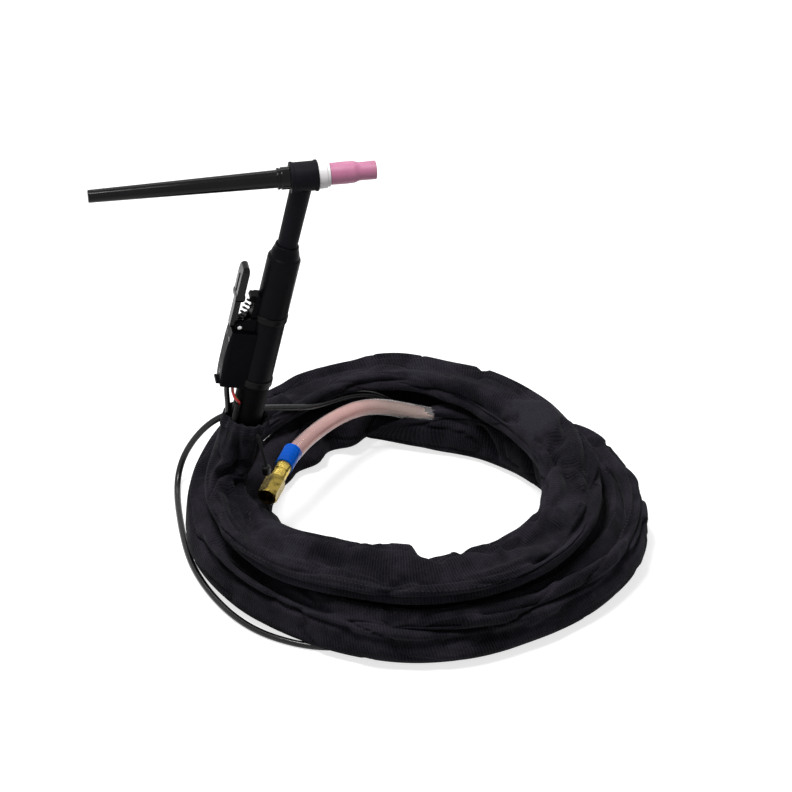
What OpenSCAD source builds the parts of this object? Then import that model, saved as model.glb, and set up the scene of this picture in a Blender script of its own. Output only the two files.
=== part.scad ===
// TIG welding torch with a trigger switch, standing in the mouth of its jacketed lead,
// which lies coiled on the floor.
// Origin: on the floor, straight below where the handle leaves the jacket.
// +X is the way the nozzle points, +Z is up.

/* [Stance] */
// Middle of the coil from the origin, along X
coil_x = 122; // [116:1:126]
// Middle of the coil from the origin, along Y
coil_y = -32; // [-40:1:-24]
// From the top of the coil up to the mouth of the jacket
jacket_rise = 42; // [40:1:52]
// Lean of the handle from plumb, which leaves the head level
lean = 12.7; // [10:0.1:15]
// From the mouth of the jacket up the handle to the head
reach = 209; // [174:1:251]

/* [Head] */
// Diameter of the rubber head
head_d = 21.6; // [19:0.2:26]
// Length of the head along the nozzle
head_l = 20; // [17:0.5:24]
// How far the moulded lips stand proud of the head
lip = 0.6; // [0.2:0.1:1.2]
// Diameter of the neck where it enters the handle
neck_d = 14.4; // [12:0.2:17.2]
// Diameter of the neck where it meets the head
neck_root_d = 15.6; // [13:0.2:19]
// Diameter of the brass core in the head
core_d = 16.4; // [15.6:0.2:18.4]
// Thread diameter of the two sockets in the core
socket_d = 10.1; // [9:0.1:11]
// Outside diameter of the copper tube in the neck
neck_tube_d = 8; // [6.6:0.2:9.6]
// Wall of that tube
neck_tube_wall = 1.2; // [0.8:0.1:1.6]

/* [Collet] */
// Diameter of the electrode that the collet grips
electrode_d = 2.4; // [1.6:0.8:2.4]
// Wall of the collet
collet_wall = 0.9; // [0.7:0.1:1.2]
// Width of the collet's slits
slit = 0.5; // [0.3:0.1:0.6]
// Thread diameter of the collet body where the nozzle screws on
nozzle_thread_d = 11.2; // [10.4:0.1:12]
// Diameter of the collet body's barrel
barrel_d = 8; // [7.2:0.1:8.6]
// Gas ports round the barrel
gas_ports = 4; // [3:1:6]

/* [Back cap] */
// Length of the back cap outside the head
cap_l = 144; // [60:1:173]
// Diameter of the collar beside the head
collar_d = 16.4; // [15:0.2:20]
// Length of the collar
collar_l = 9.4; // [7.8:0.2:12]
// Diameter of the tube where it leaves the collar
cap_root_d = 13.2; // [11:0.2:14.4]
// Diameter of the tube at its closed end
cap_tip_d = 9.4; // [7.8:0.2:11]
// Rounding of the edge of that end
cap_edge = 1; // [0.4:0.1:1.6]

/* [Gasket] */
// Diameter of the insulating gasket
gasket_d = 19.8; // [16.4:0.2:24]
// Thickness of the gasket's disc
gasket_l = 6.4; // [5:0.2:9]
// Thickness of its narrower front lip
gasket_lip_l = 2.2; // [1:0.2:3]

/* [Nozzle] */
// Length of the nozzle
nozzle_l = 33; // [27:0.5:50]
// Diameter of the wide half
nozzle_base_d = 15.8; // [14.4:0.2:19]
// Diameter of the narrow half
nozzle_tip_d = 13.2; // [12:0.2:14.6]
// Diameter of the gas opening
nozzle_bore_d = 9.8; // [9.2:0.1:10.4]

/* [Handle] */
// Diameter of the front sleeve
sleeve_d = 24.4; // [23.8:0.2:29]
// Length of the front sleeve, up to its shoulder
front_l = 46; // [38:1:55]
// Length of the shoulder that closes on the neck
shoulder_l = 12; // [8:1:16]
// Length of the rear sleeve
rear_l = 55.5; // [54:0.5:66]
// Wall of the sleeves
sleeve_wall = 2.4; // [1.8:0.2:3]
// Width of the two straps
strap_w = 5.5; // [4:0.5:7]
// How far the straps stand proud of the sleeves
strap_proud = 0.6; // [0.2:0.1:1]
// Diameter of the rubber boot behind the handle
boot_d = 23.4; // [19.4:0.2:23.4]
// How far the boot keeps the handle out of the jacket
boot_l = 33; // [28:0.5:38]
// Diameter of the power hose
power_hose_d = 11; // [9:0.5:12.5]
// Bore of the power hose
power_hose_bore = 7.2; // [6:0.2:7.6]

/* [Switch] */
// Length of the switch case along the handle
case_l = 47; // [45:0.5:50]
// How far the case stands off the sleeves
case_rise = 16.2; // [15.2:0.2:21.8]
// Width of the case
case_w = 18; // [16:0.5:21.5]
// Wall of the case
case_wall = 1.6; // [1.2:0.1:1.9]
// Length of the lever above its pivot
lever_l = 50.5; // [42:0.5:60]
// Width of the lever's leaf
leaf_w = 13; // [10:0.5:15.5]
// Width of the lever's stem and hub
stem_w = 7; // [5:0.5:8]
// Diameter of the pivot pin
pin_d = 3; // [2.4:0.1:3.4]
// Curls in the return spring
spring_curls = 5; // [4:1:6]
// Outside diameter of the return spring
spring_d = 6.2; // [5.6:0.1:6.4]
// Wire of the return spring
spring_wire = 1.1; // [0.8:0.1:1.3]
// Diameter of the switch cable
switch_cable_d = 4; // [3.2:0.1:4]
// Diameter of the red and green leads
lead_d = 1.7; // [1.4:0.1:2]

/* [Jacket and coil] */
// Diameter of the jacket round the foot of the handle
cuff_d = 35.8; // [35.6:0.2:42]
// Thickness of the hemmed cuff
cuff_wall = 1.5; // [1:0.1:1.6]
// Depth of the cuff below its rim
cuff_l = 17; // [14:0.5:20]
// Radius of the outer row of turns
outer_r = 149.3; // [140:0.1:180]
// By how much the outer row is wider from side to side
oval = 7.5; // [4:0.5:9]
// By how much its corners are cut
corner = 3; // [1:0.5:4]
// By how much it bulges to the back
bulge = 4.5; // [2:0.5:6]
// Radius of the turn that lies on top
top_r = 116; // [112:1:122]
// Width of a turn that stands on the floor
turn_w = 28.8; // [24:0.2:34]
// Height of a turn that stands on the floor
turn_h = 41; // [34:0.5:50]
// Width of the flatter turn that lies on top
flat_w = 47; // [39:0.5:50]
// Height of the flatter turn that lies on top
flat_h = 22; // [18:0.5:27]
// Gap between turns
row_gap = 1.2; // [0.8:0.1:2]
// Rings in each loop of the coil
loop_rings = 24; // [24:4:36]
// Loops in the coil
loops = 2.667; // [2.6:0.01:2.7]

/* [Hose end] */
// Diameter of the clear hose
hose_d = 12.5; // [10.4:0.1:13]
// Diameter of the blue sleeve on its end
end_sleeve_d = 14; // [13.6:0.2:16]
// Length of the blue sleeve
end_sleeve_l = 20; // [16:0.5:22]
// Diameter of the ferrule
ferrule_d = 11.6; // [9.8:0.2:13.2]
// Length of the ferrule
ferrule_l = 16; // [13:0.5:18]
// Nut across its flats
nut_af = 14; // [12.6:0.2:16.6]
// Length of the nut
nut_l = 20; // [16.5:0.5:22]
// Diameter of the nut's threaded mouth
nut_thread_d = 10; // [9:0.1:11]
// Diameter of the control cable
control_d = 3.4; // [3:0.1:3.6]
// Diameter of the plug on the control cable
plug_d = 9; // [8:0.2:10]

/* [Fits] */
// Running clearance between turning parts, on the radius
run = 0.06; // [0.03:0.01:0.1]
// Clearance between seated parts, on the radius
seat = 0.05; // [0.02:0.01:0.1]
// Gap between faces that move past each other
gap = 0.3; // [0.2:0.05:0.5]

/* [Hidden] */
$fn = 64;

// The stance
foot_z = turn_h + row_gap + flat_h + jacket_rise;
head_x = reach * sin(lean);
head_z = foot_z + reach * cos(lean);

// Stations along the handle, measured up from the mouth of the jacket
cuff_top = 3;
cuff_t = cuff_top - cuff_l;
rear_t = boot_l;
joint_t = rear_t + rear_l;
front_t = joint_t + strap_w;
shoulder_t = front_t + front_l;
nose_t = shoulder_t + shoulder_l;
neck_t = shoulder_t - 10;
union_t = neck_t - 18;
crimp_t = union_t - 12;

// The handle
sleeve_r = sleeve_d / 2;
sleeve_bore = sleeve_r - sleeve_wall;
groove_r = sleeve_r - 0.8;
strap_r = sleeve_r + strap_proud;
boot_r = boot_d / 2;
hose_r = power_hose_d / 2;
tube_r = neck_tube_d / 2;

// Stations along the nozzle's axis, measured from the middle of the head
face = head_l / 2;
core_r = core_d / 2;
socket_r = socket_d / 2;
ring_wire = 0.78;
ring_r = socket_r + 0.28;
pocket_r = ring_r + ring_wire + 0.04;
pocket_l = 2.2;
spigot_l = 7.5;
flange_r = 6.3;
flange_l = 2;
gasket_front = face + gasket_l + gasket_lip_l;
nozzle_back = gasket_front + gap;
nozzle_front = nozzle_back + nozzle_l;
thread_front = gasket_front + 8.4;
collet_r = electrode_d / 2 + collet_wall;
body_bore = collet_r + seat;
body_front = nozzle_front - 9;

// The switch
case_t = rear_t - 2;
case_top = case_t + case_l;
case_crown = 1.4;
case_h = sleeve_r + case_rise;
base_r = sleeve_r + 3;
hub_r = 3.2;
pivot_t = case_top + hub_r + gap;
pivot_r = case_h - 6.4;
push_r = pivot_r - 4.5;
plunger_r = 1.3;
plunger_top = case_top + 0.8;
push_gap = 0.1;
leaf_t = pivot_t + 21.5;
leaf_top = pivot_t + lever_l;
lug_gap = stem_w / 2 + gap;
base_top = front_t + 14;
spring_foot = [pivot_r - 0.8, pivot_t + 5];
spring_head = [sleeve_r + 4.2, base_top - 3.4];
spring_rise = spring_head - spring_foot;
spring_l = norm(spring_rise);
spring_lean = atan2(-spring_rise[0], spring_rise[1]);
gland_x = case_h - 8.4;
lead_x = sleeve_r + 4.4;

// The coil: angles run the way the jacket is laid, from its start under the handle
lie = 10;
coil_from = 189;
coil_step = 360 / loop_rings;
coil_rings = round(loops * loop_rings);
coil_to = coil_from + coil_rings * coil_step;
half_sixth = sin(60);
spread = 2.6;
squeeze = 1.9;
drift = 1.5;
start_run = 22;
mouth_run = 30;
// How far in from the top turn's lane the coil starts, and how much narrower it is there
start_in = 22;
start_narrow = 6;
// Where along the coil it settles into the top lane, widens, thins, swings out over the outer lane, drops
// to the floor, swings into the inner lane and narrows to its mouth
settles = [coil_from, 245];
widens = [coil_from, 225];
thins = [400, 470];
swings_out = [380, 465];
drops = [488, 538];
swings_in = [792, 890];
ends = [1085, coil_to];
// The top turn is humped over the control cable where that comes out from under it, and a lower one is
// arched over it
hump_up = [425, 448];
hump_down = [466, 492];
hump_h = 3;
arch_up = [562, 590];
arch_down = [608, 636];
cable_lift = 7.2;
// Where the hose and the control cable leave the mouth
hose_up = 12;
cable_up = 6;
cable_out = 8.6;

// Routes of the cords. Those of the hose and the control cable are measured from the middle of the coil,
// those of the switch leads in the handle's frame, and the tie cord's from the mouth of the jacket.
end_from = [-84, 56, turn_h + 13.5];
end_turn = 241;
end_dip = 5;
hose_route = [[-3, 127.5, turn_h - 1.5], [-16, 122, turn_h + 3], [-29, 113.5, turn_h + 5.5],
    [-42.5, 102, turn_h + 8], [-56, 88, turn_h + 10.5], [-70, 72.5, turn_h + 12.7]];
control_route = [[2, 136, turn_h - 4], [-13, 136, turn_h + 3.4], [-28, 134, turn_h + 3.8],
    [-41, 127, turn_h + 5.5], [-53, 117, turn_h + 9], [-64, 106, turn_h + 14], [-77, 104, turn_h + 19],
    [-90, 99, turn_h + 24], [-106, 97, turn_h + 26], [-122, 100, turn_h + 24], [-136, 104, turn_h + 16],
    [-146, 107, turn_h + 5], [-155, 111, turn_h - 9], [-163, 116, 16], [-168, 116, 5],
    [-171, 106, 1.7], [-173, 80, 1.7], [-175, 36, 1.7], [-173, 4, 1.7], [-168, -22, 1.7],
    [-160, -48, 1.7], [-147, -74, 1.7], [-132, -92, 1.7], [-117, -104, 1.7], [-102, -113, 1.7],
    [-88, -118, 1.7], [-72, -120, 2.2], [-56, -119, 3.6], [-42, -118.6, 4.6], [-34, -119.2, 4.6]];
plug_from = [-34, -119.2, 4.6];
plug_turn = -6;
plug_l = 38;
switch_route = [[-gland_x, 0, case_t + 5], [-gland_x, 0, case_t - 5], [-17, 0, 15], [-14.3, 0, 4],
    [-14.1, 0, -6], [-14.1, 0, cuff_t]];
green_route = [[-lead_x, -3.2, case_t + 2.5], [-lead_x, -3.2, case_t - 2], [-15.6, -6.2, 24.5],
    [-12.4, -8.4, 21.5], [-11.3, -8.4, 19.4], [-11.3, -8.4, 18]];
red_route = [[-lead_x, -5.9, case_t + 2.5], [-lead_x, -5.9, case_t - 2.5], [-14.8, -9.4, 23.5],
    [-11.4, -10.9, 20.8], [-10.1, -9.7, 19.2], [-10.1, -9.7, 18]];
sleeve_at = [-10.7, -9, 18];
tie_route = [[6, -16.7, -5], [6.8, -19.3, -6], [8, -20.8, -13], [10, -21.2, -22], [11.5, -21.2, -30]];
lock_at = [11.5, -21.2, -38];

// Curves and sweeps

function ease(from, to, x) = let (t = min(max((x - from) / (to - from), 0), 1)) t * t * (3 - 2 * t);
function blend(a, b, share) = a + (b - a) * share;
function unit(v) = v / norm(v);

// Points of an arc about a centre
function arc(centre, r, from, to, steps = 5) =
    [for (i = [0 : steps]) let (a = blend(from, to, i / steps)) centre + r * [cos(a), sin(a)]];

// Points of a smooth run between two radii of a turned piece, seen as [radius, height]
function swell(r1, h1, r2, h2, steps = 6) =
    [for (i = [0 : steps]) let (s = i / steps) [blend(r1, r2, ease(0, 1, s)), blend(h1, h2, s)]];

module turned(profile) rotate_extrude() polygon(profile);

module ring(r_out, r_in, h) difference() {
    cylinder(r = r_out, h = h);
    translate([0, 0, -1]) cylinder(r = r_in, h = h + 2);
}

// A ring whose outer edges are rounded
module soft_ring(r_out, r_in, h, edge) turned(concat([[r_in, 0]], arc([r_out - edge, edge], edge, -90, 0, 4),
    arc([r_out - edge, h - edge], edge, 0, 90, 4), [[r_in, h]]));

// Triangles of a closed tube whose points run ring by ring
function tube_faces(rings, sides) = concat(
    [for (i = [0 : rings - 2], k = [0 : sides - 1])
        let (a = i * sides + k, b = i * sides + (k + 1) % sides) [a, a + sides, b]],
    [for (i = [0 : rings - 2], k = [0 : sides - 1])
        let (a = i * sides + k, b = i * sides + (k + 1) % sides) [b, a + sides, b + sides]],
    [for (k = [1 : sides - 2]) [0, k, k + 1]],
    [for (k = [1 : sides - 2]) let (e = (rings - 1) * sides) [e, e + k + 1, e + k]]);

// The direction of a route at one of its points
function heading(route, i) = unit(route[min(i + 1, len(route) - 1)] - route[max(i - 1, 0)]);

// Points of a round tube swept along a route; side is never along the route
function tube_points(route, r, sides, side) = [for (i = [0 : len(route) - 1])
    let (t = heading(route, i), u = unit(cross(t, side)), v = cross(t, u))
    for (k = [0 : sides - 1]) route[i] + r * (cos(k * 360 / sides) * u + sin(k * 360 / sides) * v)];

module tube(route, d, sides = 8, side = [0, 0, 1])
    polyhedron(tube_points(route, d / 2, sides, side), tube_faces(len(route), sides), convexity = 4);

// Frames of reference

module in_handle(t = 0)
    translate([0, 0, foot_z]) rotate([0, lean, 0]) translate([0, 0, t]) children();

// Its Z runs along the nozzle
module in_head(s = 0) translate([head_x, 0, head_z]) rotate([0, 90, 0]) translate([0, 0, s]) children();

// Its X points from the handle out through the switch, its Y runs up the handle
module in_switch(depth = 0) in_handle() rotate([90, 0, 0]) mirror([1, 0, 0])
    translate([0, 0, -depth / 2]) children();

// Its origin is on the floor in the middle of the coil
module in_coil() translate([coil_x, coil_y, 0]) children();

// Its Z runs along the end of the hose
module in_end(s = 0) in_coil() translate(end_from) rotate([0, 0, end_turn]) rotate([0, 90 + end_dip, 0])
    translate([0, 0, s]) children();

// Head

module back_cap() color([0.05, 0.05, 0.05]) in_head(-face) {
    groove = ring_r - ring_wire - 0.04;
    spigot_r = socket_r - run;
    collar_r = collar_d / 2;
    bore_r = electrode_d / 2 + 0.4;
    tip_r = cap_tip_d / 2;
    ring_mid = pocket_l / 2;
    half = ring_wire + 0.1;
    turned(concat(
        [[bore_r, spigot_l], [spigot_r - 0.5, spigot_l], [spigot_r, spigot_l - 0.5],
            [spigot_r, ring_mid + half], [groove, ring_mid + half], [groove, ring_mid - half],
            [spigot_r, ring_mid - half], [spigot_r, 0]],
        arc([collar_r - 0.5, -0.5], 0.5, 90, 0, 3),
        arc([collar_r - 0.8, 3.4 - collar_l], 0.8, 0, -90, 3),
        [[cap_root_d / 2 + 0.7, 2.6 - collar_l], [cap_root_d / 2 + 0.7, 2 - collar_l]],
        arc([cap_root_d / 2 + 0.9, 1.6 - collar_l], 0.4, 90, 0, 3),
        arc([cap_root_d / 2 + 0.8, 0.5 - collar_l], 0.5, 0, -90, 3),
        [[cap_root_d / 2, -collar_l]],
        arc([tip_r - cap_edge, cap_edge - cap_l], cap_edge, 0, -90, 4),
        [[0, -cap_l], [0, 4 - cap_l], [bore_r, 5.6 - cap_l]]));
}

module cap_o_ring() color([0.1, 0.1, 0.1]) in_head(-face + pocket_l / 2)
    rotate_extrude() translate([ring_r, 0]) circle(r = ring_wire, $fn = 24);

module head_core() color([0.78, 0.6, 0.25]) difference() {
    in_head() turned([[socket_r, pocket_l - face], [pocket_r, pocket_l - face], [pocket_r, -face],
        [core_r, -face], [core_r, face], [socket_r, face]]);
    in_handle(neck_t) cylinder(r = tube_r, h = reach - neck_t - socket_r - 1.6);
    in_handle(neck_t) cylinder(r = 1.8, h = reach - neck_t);
}

module neck_tube() color([0.72, 0.42, 0.25]) in_handle(neck_t - 8)
    ring(tube_r, tube_r - neck_tube_wall, reach - neck_t + 8 - socket_r - 1.6);

module head_cover() color([0.09, 0.09, 0.1]) difference() {
    union() {
        in_head() {
            r = head_d / 2;
            big = r + lip;
            turned(concat([[0, -face]], arc([big - 0.6, 0.6 - face], 0.6, -90, 0, 3),
                arc([big - 0.6, 1.8 - face], 0.6, 0, 70, 3), [[r, 2.9 - face], [r, face - 2.9]],
                arc([big - 0.6, face - 1.8], 0.6, -70, 0, 3), arc([big - 0.6, face - 0.6], 0.6, 0, 90, 3),
                [[0, face]]));
        }
        in_handle(neck_t) cylinder(d1 = neck_d, d2 = neck_root_d, h = reach - neck_t - head_d / 2 + 2.4);
    }
    in_head(-face - 1) cylinder(r = core_r, h = head_l + 2);
    in_handle(neck_t - 1) cylinder(r = tube_r, h = reach - neck_t);
}

module gasket() color([0.93, 0.93, 0.9]) in_head() {
    r = gasket_d / 2;
    lip_r = r - 0.9;
    disc = face + gasket_l;
    turned(concat([[flange_r + seat, face], [r - 0.3, face], [r, face + 0.3]],
        arc([r - 0.5, disc - 0.5], 0.5, 0, 90, 3), [[lip_r, disc]],
        arc([lip_r - 0.5, gasket_front - 0.5], 0.5, 0, 90, 3),
        [[nozzle_thread_d / 2 + seat, gasket_front], [nozzle_thread_d / 2 + seat, face + flange_l + 0.3],
            [flange_r + seat, face + flange_l + 0.3]]));
}

module collet_body() color([0.78, 0.5, 0.3]) difference() {
    in_head() {
        barrel_r = barrel_d / 2;
        thread_r = nozzle_thread_d / 2;
        nose = body_front;
        turned([[body_bore, 2.5], [socket_r - 0.5, 2.5], [socket_r, 3], [socket_r, face],
            [flange_r, face], [flange_r, face + flange_l], [thread_r - 0.6, face + flange_l],
            [thread_r - 0.6, gasket_front + 0.4], [thread_r, gasket_front + 0.9], [thread_r, thread_front - 0.5],
            [thread_r - 0.5, thread_front], [barrel_r, thread_front], [barrel_r, nose - 3], [2.5, nose],
            [electrode_d / 2 + 0.15, nose], [electrode_d / 2 + 0.15, nose - 2], [body_bore, nose - 5]]);
    }
    for (i = [0 : gas_ports - 1]) in_head(nozzle_front - 20) rotate([0, 0, (i + 0.5) * 360 / gas_ports])
        rotate([0, 90, 0]) cylinder(d = 1.5, h = barrel_d);
}

module collet() color([0.8, 0.52, 0.32]) in_head() difference() {
    back = gap - 2.5;
    nose = body_front - 2.9;
    r = electrode_d / 2;
    slit_l = 20;
    turned([[r, back], [collet_r, back], [collet_r, nose - 2.3], [collet_r - 0.62, nose], [r, nose]]);
    for (turn = [0, 90]) rotate([0, 0, turn])
        translate([-slit / 2, -collet_r - 1, nose - slit_l]) cube([slit, 2 * collet_r + 2, slit_l + 1]);
}

module nozzle() color([0.88, 0.66, 0.62]) in_head(nozzle_back) {
    base = nozzle_base_d / 2;
    tip = nozzle_tip_d / 2;
    bore = nozzle_bore_d / 2;
    rear = nozzle_thread_d / 2 + run;
    turned(concat([[rear, 0], [base - 0.7, 0]], arc([base - 0.6, 0.6], 0.6, -80, 0, 3),
        swell(base, 2, base + 0.15, 8, 3), swell(base + 0.15, 12, base, 15.5, 2),
        swell(base, 16, tip, 21.5, 8), swell(tip, 23, tip + 0.15, nozzle_l - 0.5, 3),
        [[tip - 0.15, nozzle_l], [bore + 0.3, nozzle_l], [bore, nozzle_l - 0.4],
            [bore, thread_front - nozzle_back + 3], [rear, thread_front - nozzle_back + 1.5]]));
}

// Handle

module handle_front() color([0.07, 0.07, 0.08]) in_handle() {
    mouth = neck_d / 2 + 0.4;
    turned(concat([[sleeve_bore, joint_t], [groove_r, joint_t], [groove_r, front_t]],
        [[sleeve_r - 0.4, front_t], [sleeve_r, front_t + 0.4]],
        arc([sleeve_r - 3, shoulder_t], 3, 0, 38, 4),
        swell(sleeve_r - 1.6, shoulder_t + 3, mouth + 1.1, nose_t - 0.6, 6),
        [[mouth + 0.6, nose_t], [mouth, nose_t], [mouth, shoulder_t + 1], [sleeve_bore, shoulder_t - 2]]));
}

module handle_rear() color([0.06, 0.06, 0.07]) in_handle() {
    r = sleeve_r - 0.2;
    turned([[sleeve_bore, rear_t], [groove_r, rear_t], [groove_r, rear_t + strap_w],
        [r - 0.3, rear_t + strap_w], [r, rear_t + strap_w + 0.3], [r, joint_t - 0.5], [r - 0.5, joint_t],
        [sleeve_bore, joint_t]]);
}

module straps() color([0.05, 0.05, 0.05]) for (t = [rear_t, joint_t]) in_handle(t)
    soft_ring(strap_r, groove_r, strap_w, 0.5);

module hose_boot() color([0.05, 0.05, 0.06]) in_handle() {
    bore = hose_r + seat;
    plug = sleeve_bore - seat;
    turned(concat([[bore, cuff_t], [boot_r, cuff_t], [boot_r, rear_t - 3]],
        arc([boot_r - 0.8, rear_t - 0.8], 0.8, 0, 90, 3),
        [[plug, rear_t], [plug, rear_t + 11], [plug - 1, rear_t + 12], [bore, rear_t + 12]]));
}

module power_hose() color([0.12, 0.12, 0.13]) in_handle(cuff_t)
    ring(hose_r, power_hose_bore / 2, union_t - cuff_t);

module crimp_ring() color([0.7, 0.7, 0.72]) in_handle(crimp_t)
    soft_ring(hose_r + 1.1, hose_r, 11, 0.4);

module hose_union() color([0.75, 0.58, 0.25]) in_handle() difference() {
    union() {
        translate([0, 0, crimp_t - 2]) cylinder(d = power_hose_bore, h = union_t - crimp_t + 2);
        translate([0, 0, union_t]) cylinder(r = tube_r + 2.6, h = neck_t - union_t);
    }
    translate([0, 0, crimp_t - 3]) cylinder(r = tube_r - neck_tube_wall - 0.6, h = 60);
    translate([0, 0, neck_t - 8]) cylinder(r = tube_r, h = 9);
}

// Switch

module switch_base() color([0.08, 0.08, 0.09]) difference() {
    union() {
        in_handle() translate([-base_r, -7, case_t + case_wall])
            cube([base_r - sleeve_r + 6, 14, case_l - 2 * case_wall]);
        in_handle(case_top - 4) translate([-base_r, -5, 0]) cube([base_r - sleeve_r + 5, 10, base_top - case_top + 4]);
        for (way = [-1, 1]) in_switch(2.6) translate([0, 0, way * (lug_gap + 1.3)]) linear_extrude(2.6) {
            translate([pivot_r, pivot_t]) circle(r = hub_r + 0.2);
            polygon([[sleeve_r - 2, case_top], [pivot_r, case_top], [pivot_r + 1.2, pivot_t + 3.18],
                [sleeve_r + 2.5, pivot_t + 8], [sleeve_r - 2, pivot_t + 8]]);
        }
        in_switch(8) linear_extrude(8) polygon([[sleeve_r - 2, base_top - 9], [sleeve_r + 3, base_top - 6],
            spring_head + [2.6, 0.6], spring_head + [1.9, 3.4], [sleeve_r + 2, base_top],
            [sleeve_r - 2, base_top]]);
        in_spring(spring_l - 3) cylinder(r = spring_d / 2 - spring_wire - 0.6, h = 5, $fn = 24);
    }
    in_handle(case_t - 1) cylinder(r = sleeve_r, h = base_top - case_t + 2);
    for (t = [rear_t, joint_t]) in_handle(t - 0.1) cylinder(r = strap_r + seat, h = strap_w + 0.2);
    in_spring(-1) ring(spring_d / 2 + 0.7, spring_d / 2 - spring_wire - 0.6, spring_l + 1);
    in_switch(20) translate([pivot_r, pivot_t, 0]) cylinder(r = pin_d / 2, h = 20);
    for (at = screw_places()) in_handle() translate([-case_h, at[0], at[1]]) rotate([0, 90, 0])
        cylinder(r = 1.2, h = case_h - sleeve_r + 4);
}

// Its Z runs up the return spring
module in_spring(s = 0) in_handle() translate([-spring_foot[0], 0, spring_foot[1]])
    rotate([0, spring_lean, 0]) translate([0, 0, s]) children();

function screw_places() = [[0, case_t + 9], [5.2, case_top - 8], [-5.2, case_top - 8]];

module case_outline(inset) {
    r = 3 - inset / 2;
    half = case_w / 2 - inset;
    out = case_h - inset * 1.9;
    translate([-out + r, -half]) square([out - r - sleeve_r + 6, 2 * half]);
    translate([-out, -half + r]) square([r + 1, 2 * (half - r)]);
    for (way = [-1, 1]) translate([-out + r, way * (half - r)]) circle(r = r);
}

module switch_case() color([0.06, 0.06, 0.07]) difference() {
    union() {
        in_handle(case_t) intersection() {
            linear_extrude(case_l) case_outline(0);
            translate([200 - case_h, 30, case_l / 2]) rotate([90, 0, 0]) cylinder(r = 200, h = 60, $fn = 180);
        }
        in_handle(case_t) translate([-case_h - 1.2, 4 - case_w / 2, 0]) cube([4, case_w - 8, 1.8]);
    }
    in_handle(case_t + case_wall) linear_extrude(case_l - 2 * case_wall) case_outline(case_wall);
    in_handle(case_t - 1) cylinder(r = sleeve_r + seat, h = case_l + 2);
    in_handle(case_top - 3) translate([-base_r - seat, -5 - seat, 0]) cube([base_r, 10 + 2 * seat, 4]);
    in_handle(rear_t - 0.1) cylinder(r = strap_r + seat, h = strap_w + 0.2);
    in_handle(case_top - 3) translate([-push_r, 0, 0]) cylinder(r = plunger_r + 0.4, h = 6);
    in_handle(case_t - 1) translate([-gland_x, 0, 0]) cylinder(r = 3, h = 4);
    for (route = [red_route, green_route]) in_handle(case_t - 1) translate([route[0][0], route[0][1], 0])
        cylinder(d = lead_d + 0.1, h = 4);
    for (at = screw_places()) in_handle() translate([-case_h - 1, at[0], at[1]]) rotate([0, 90, 0]) {
        cylinder(r = 1.3, h = 6);
        cylinder(r = 2.15, h = 2.6);
    }
}

module case_screws() color([0.6, 0.6, 0.62]) for (at = screw_places())
    in_handle() translate([-case_h + 0.7, at[0], at[1]]) rotate([0, 90, 0]) difference() {
        union() {
            cylinder(r = 2.05, h = 0.9);
            cylinder(r = 1.2, h = case_h - sleeve_r - 0.9);
        }
        for (turn = [0, 90]) rotate([0, 0, turn]) translate([-1.2, -0.25, -1]) cube([2.4, 0.5, 1.5]);
    }

module microswitch() color([0.15, 0.15, 0.17]) in_handle() difference() {
    switch_out = case_h - 1.9 * case_wall - seat;
    union() {
        translate([-switch_out, -3.2, case_top - 25]) cube([switch_out - base_r - seat, 6.4, 20]);
        for (s = [1, 2, 3]) translate([-switch_out + 2.5 * s, -1, case_top - 29]) cube([0.6, 2, 4]);
        translate([-push_r, 0, case_top - 5]) cylinder(r = 2.1, h = 2);
    }
    translate([-push_r, 0, case_top - 15]) cylinder(r = plunger_r + run, h = 16);
}

module plunger() color([0.75, 0.15, 0.12]) in_handle(case_top - 14) translate([-push_r, 0, 0])
    turned(concat([[0, 0], [plunger_r, 0]],
        arc([plunger_r - 0.5, 14 + 0.3], 0.5, 0, 90, 3), [[0, 14.8]]));

module lever_side() {
    translate([pivot_r, pivot_t]) circle(r = hub_r);
    translate([push_r, plunger_top + push_gap + 1.5]) circle(r = 1.5);
    polygon([[push_r, plunger_top + push_gap], [pivot_r, pivot_t - hub_r], [pivot_r, pivot_t + hub_r],
        [push_r, plunger_top + push_gap + 3]]);
    polygon([[pivot_r - 1, pivot_t + 3], [pivot_r + 2.5, pivot_t + 6], [pivot_r + 2.5, leaf_t + 2],
        [pivot_r + 7, leaf_t + 2], [pivot_r + 7, pivot_t - 1], [pivot_r + 5, pivot_t - 2.6],
        [pivot_r + 1, pivot_t - 3]]);
}

module leaf_side() polygon(concat([[pivot_r + 2.6, leaf_t - 1], [pivot_r + 0.8, leaf_t + 1.5],
    [pivot_r + 0.8, leaf_t + 4.5], [pivot_r + 1.6, leaf_t + 7], [pivot_r + 1.6, leaf_top - 5]],
    arc([pivot_r + 4.4, leaf_top - 2.6], 2.6, 180, 20, 6),
    [[pivot_r + 7.4, leaf_top - 8], [pivot_r + 7.4, leaf_t + 6], [pivot_r + 8, leaf_t + 4],
        [pivot_r + 8, leaf_t + 1.5], [pivot_r + 7, leaf_t - 1]]));

module leaf_front() {
    half = leaf_w / 2;
    translate([-half, leaf_t + 2]) square([leaf_w, leaf_top - leaf_t - 7]);
    translate([-half + 2, leaf_t - 1]) square([leaf_w - 4, leaf_top - leaf_t + 1]);
    for (way = [-1, 1]) {
        translate([way * (half - 3), leaf_t + 2]) circle(r = 3);
        translate([way * (half - 5), leaf_top - 5]) circle(r = 5);
    }
}

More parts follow.
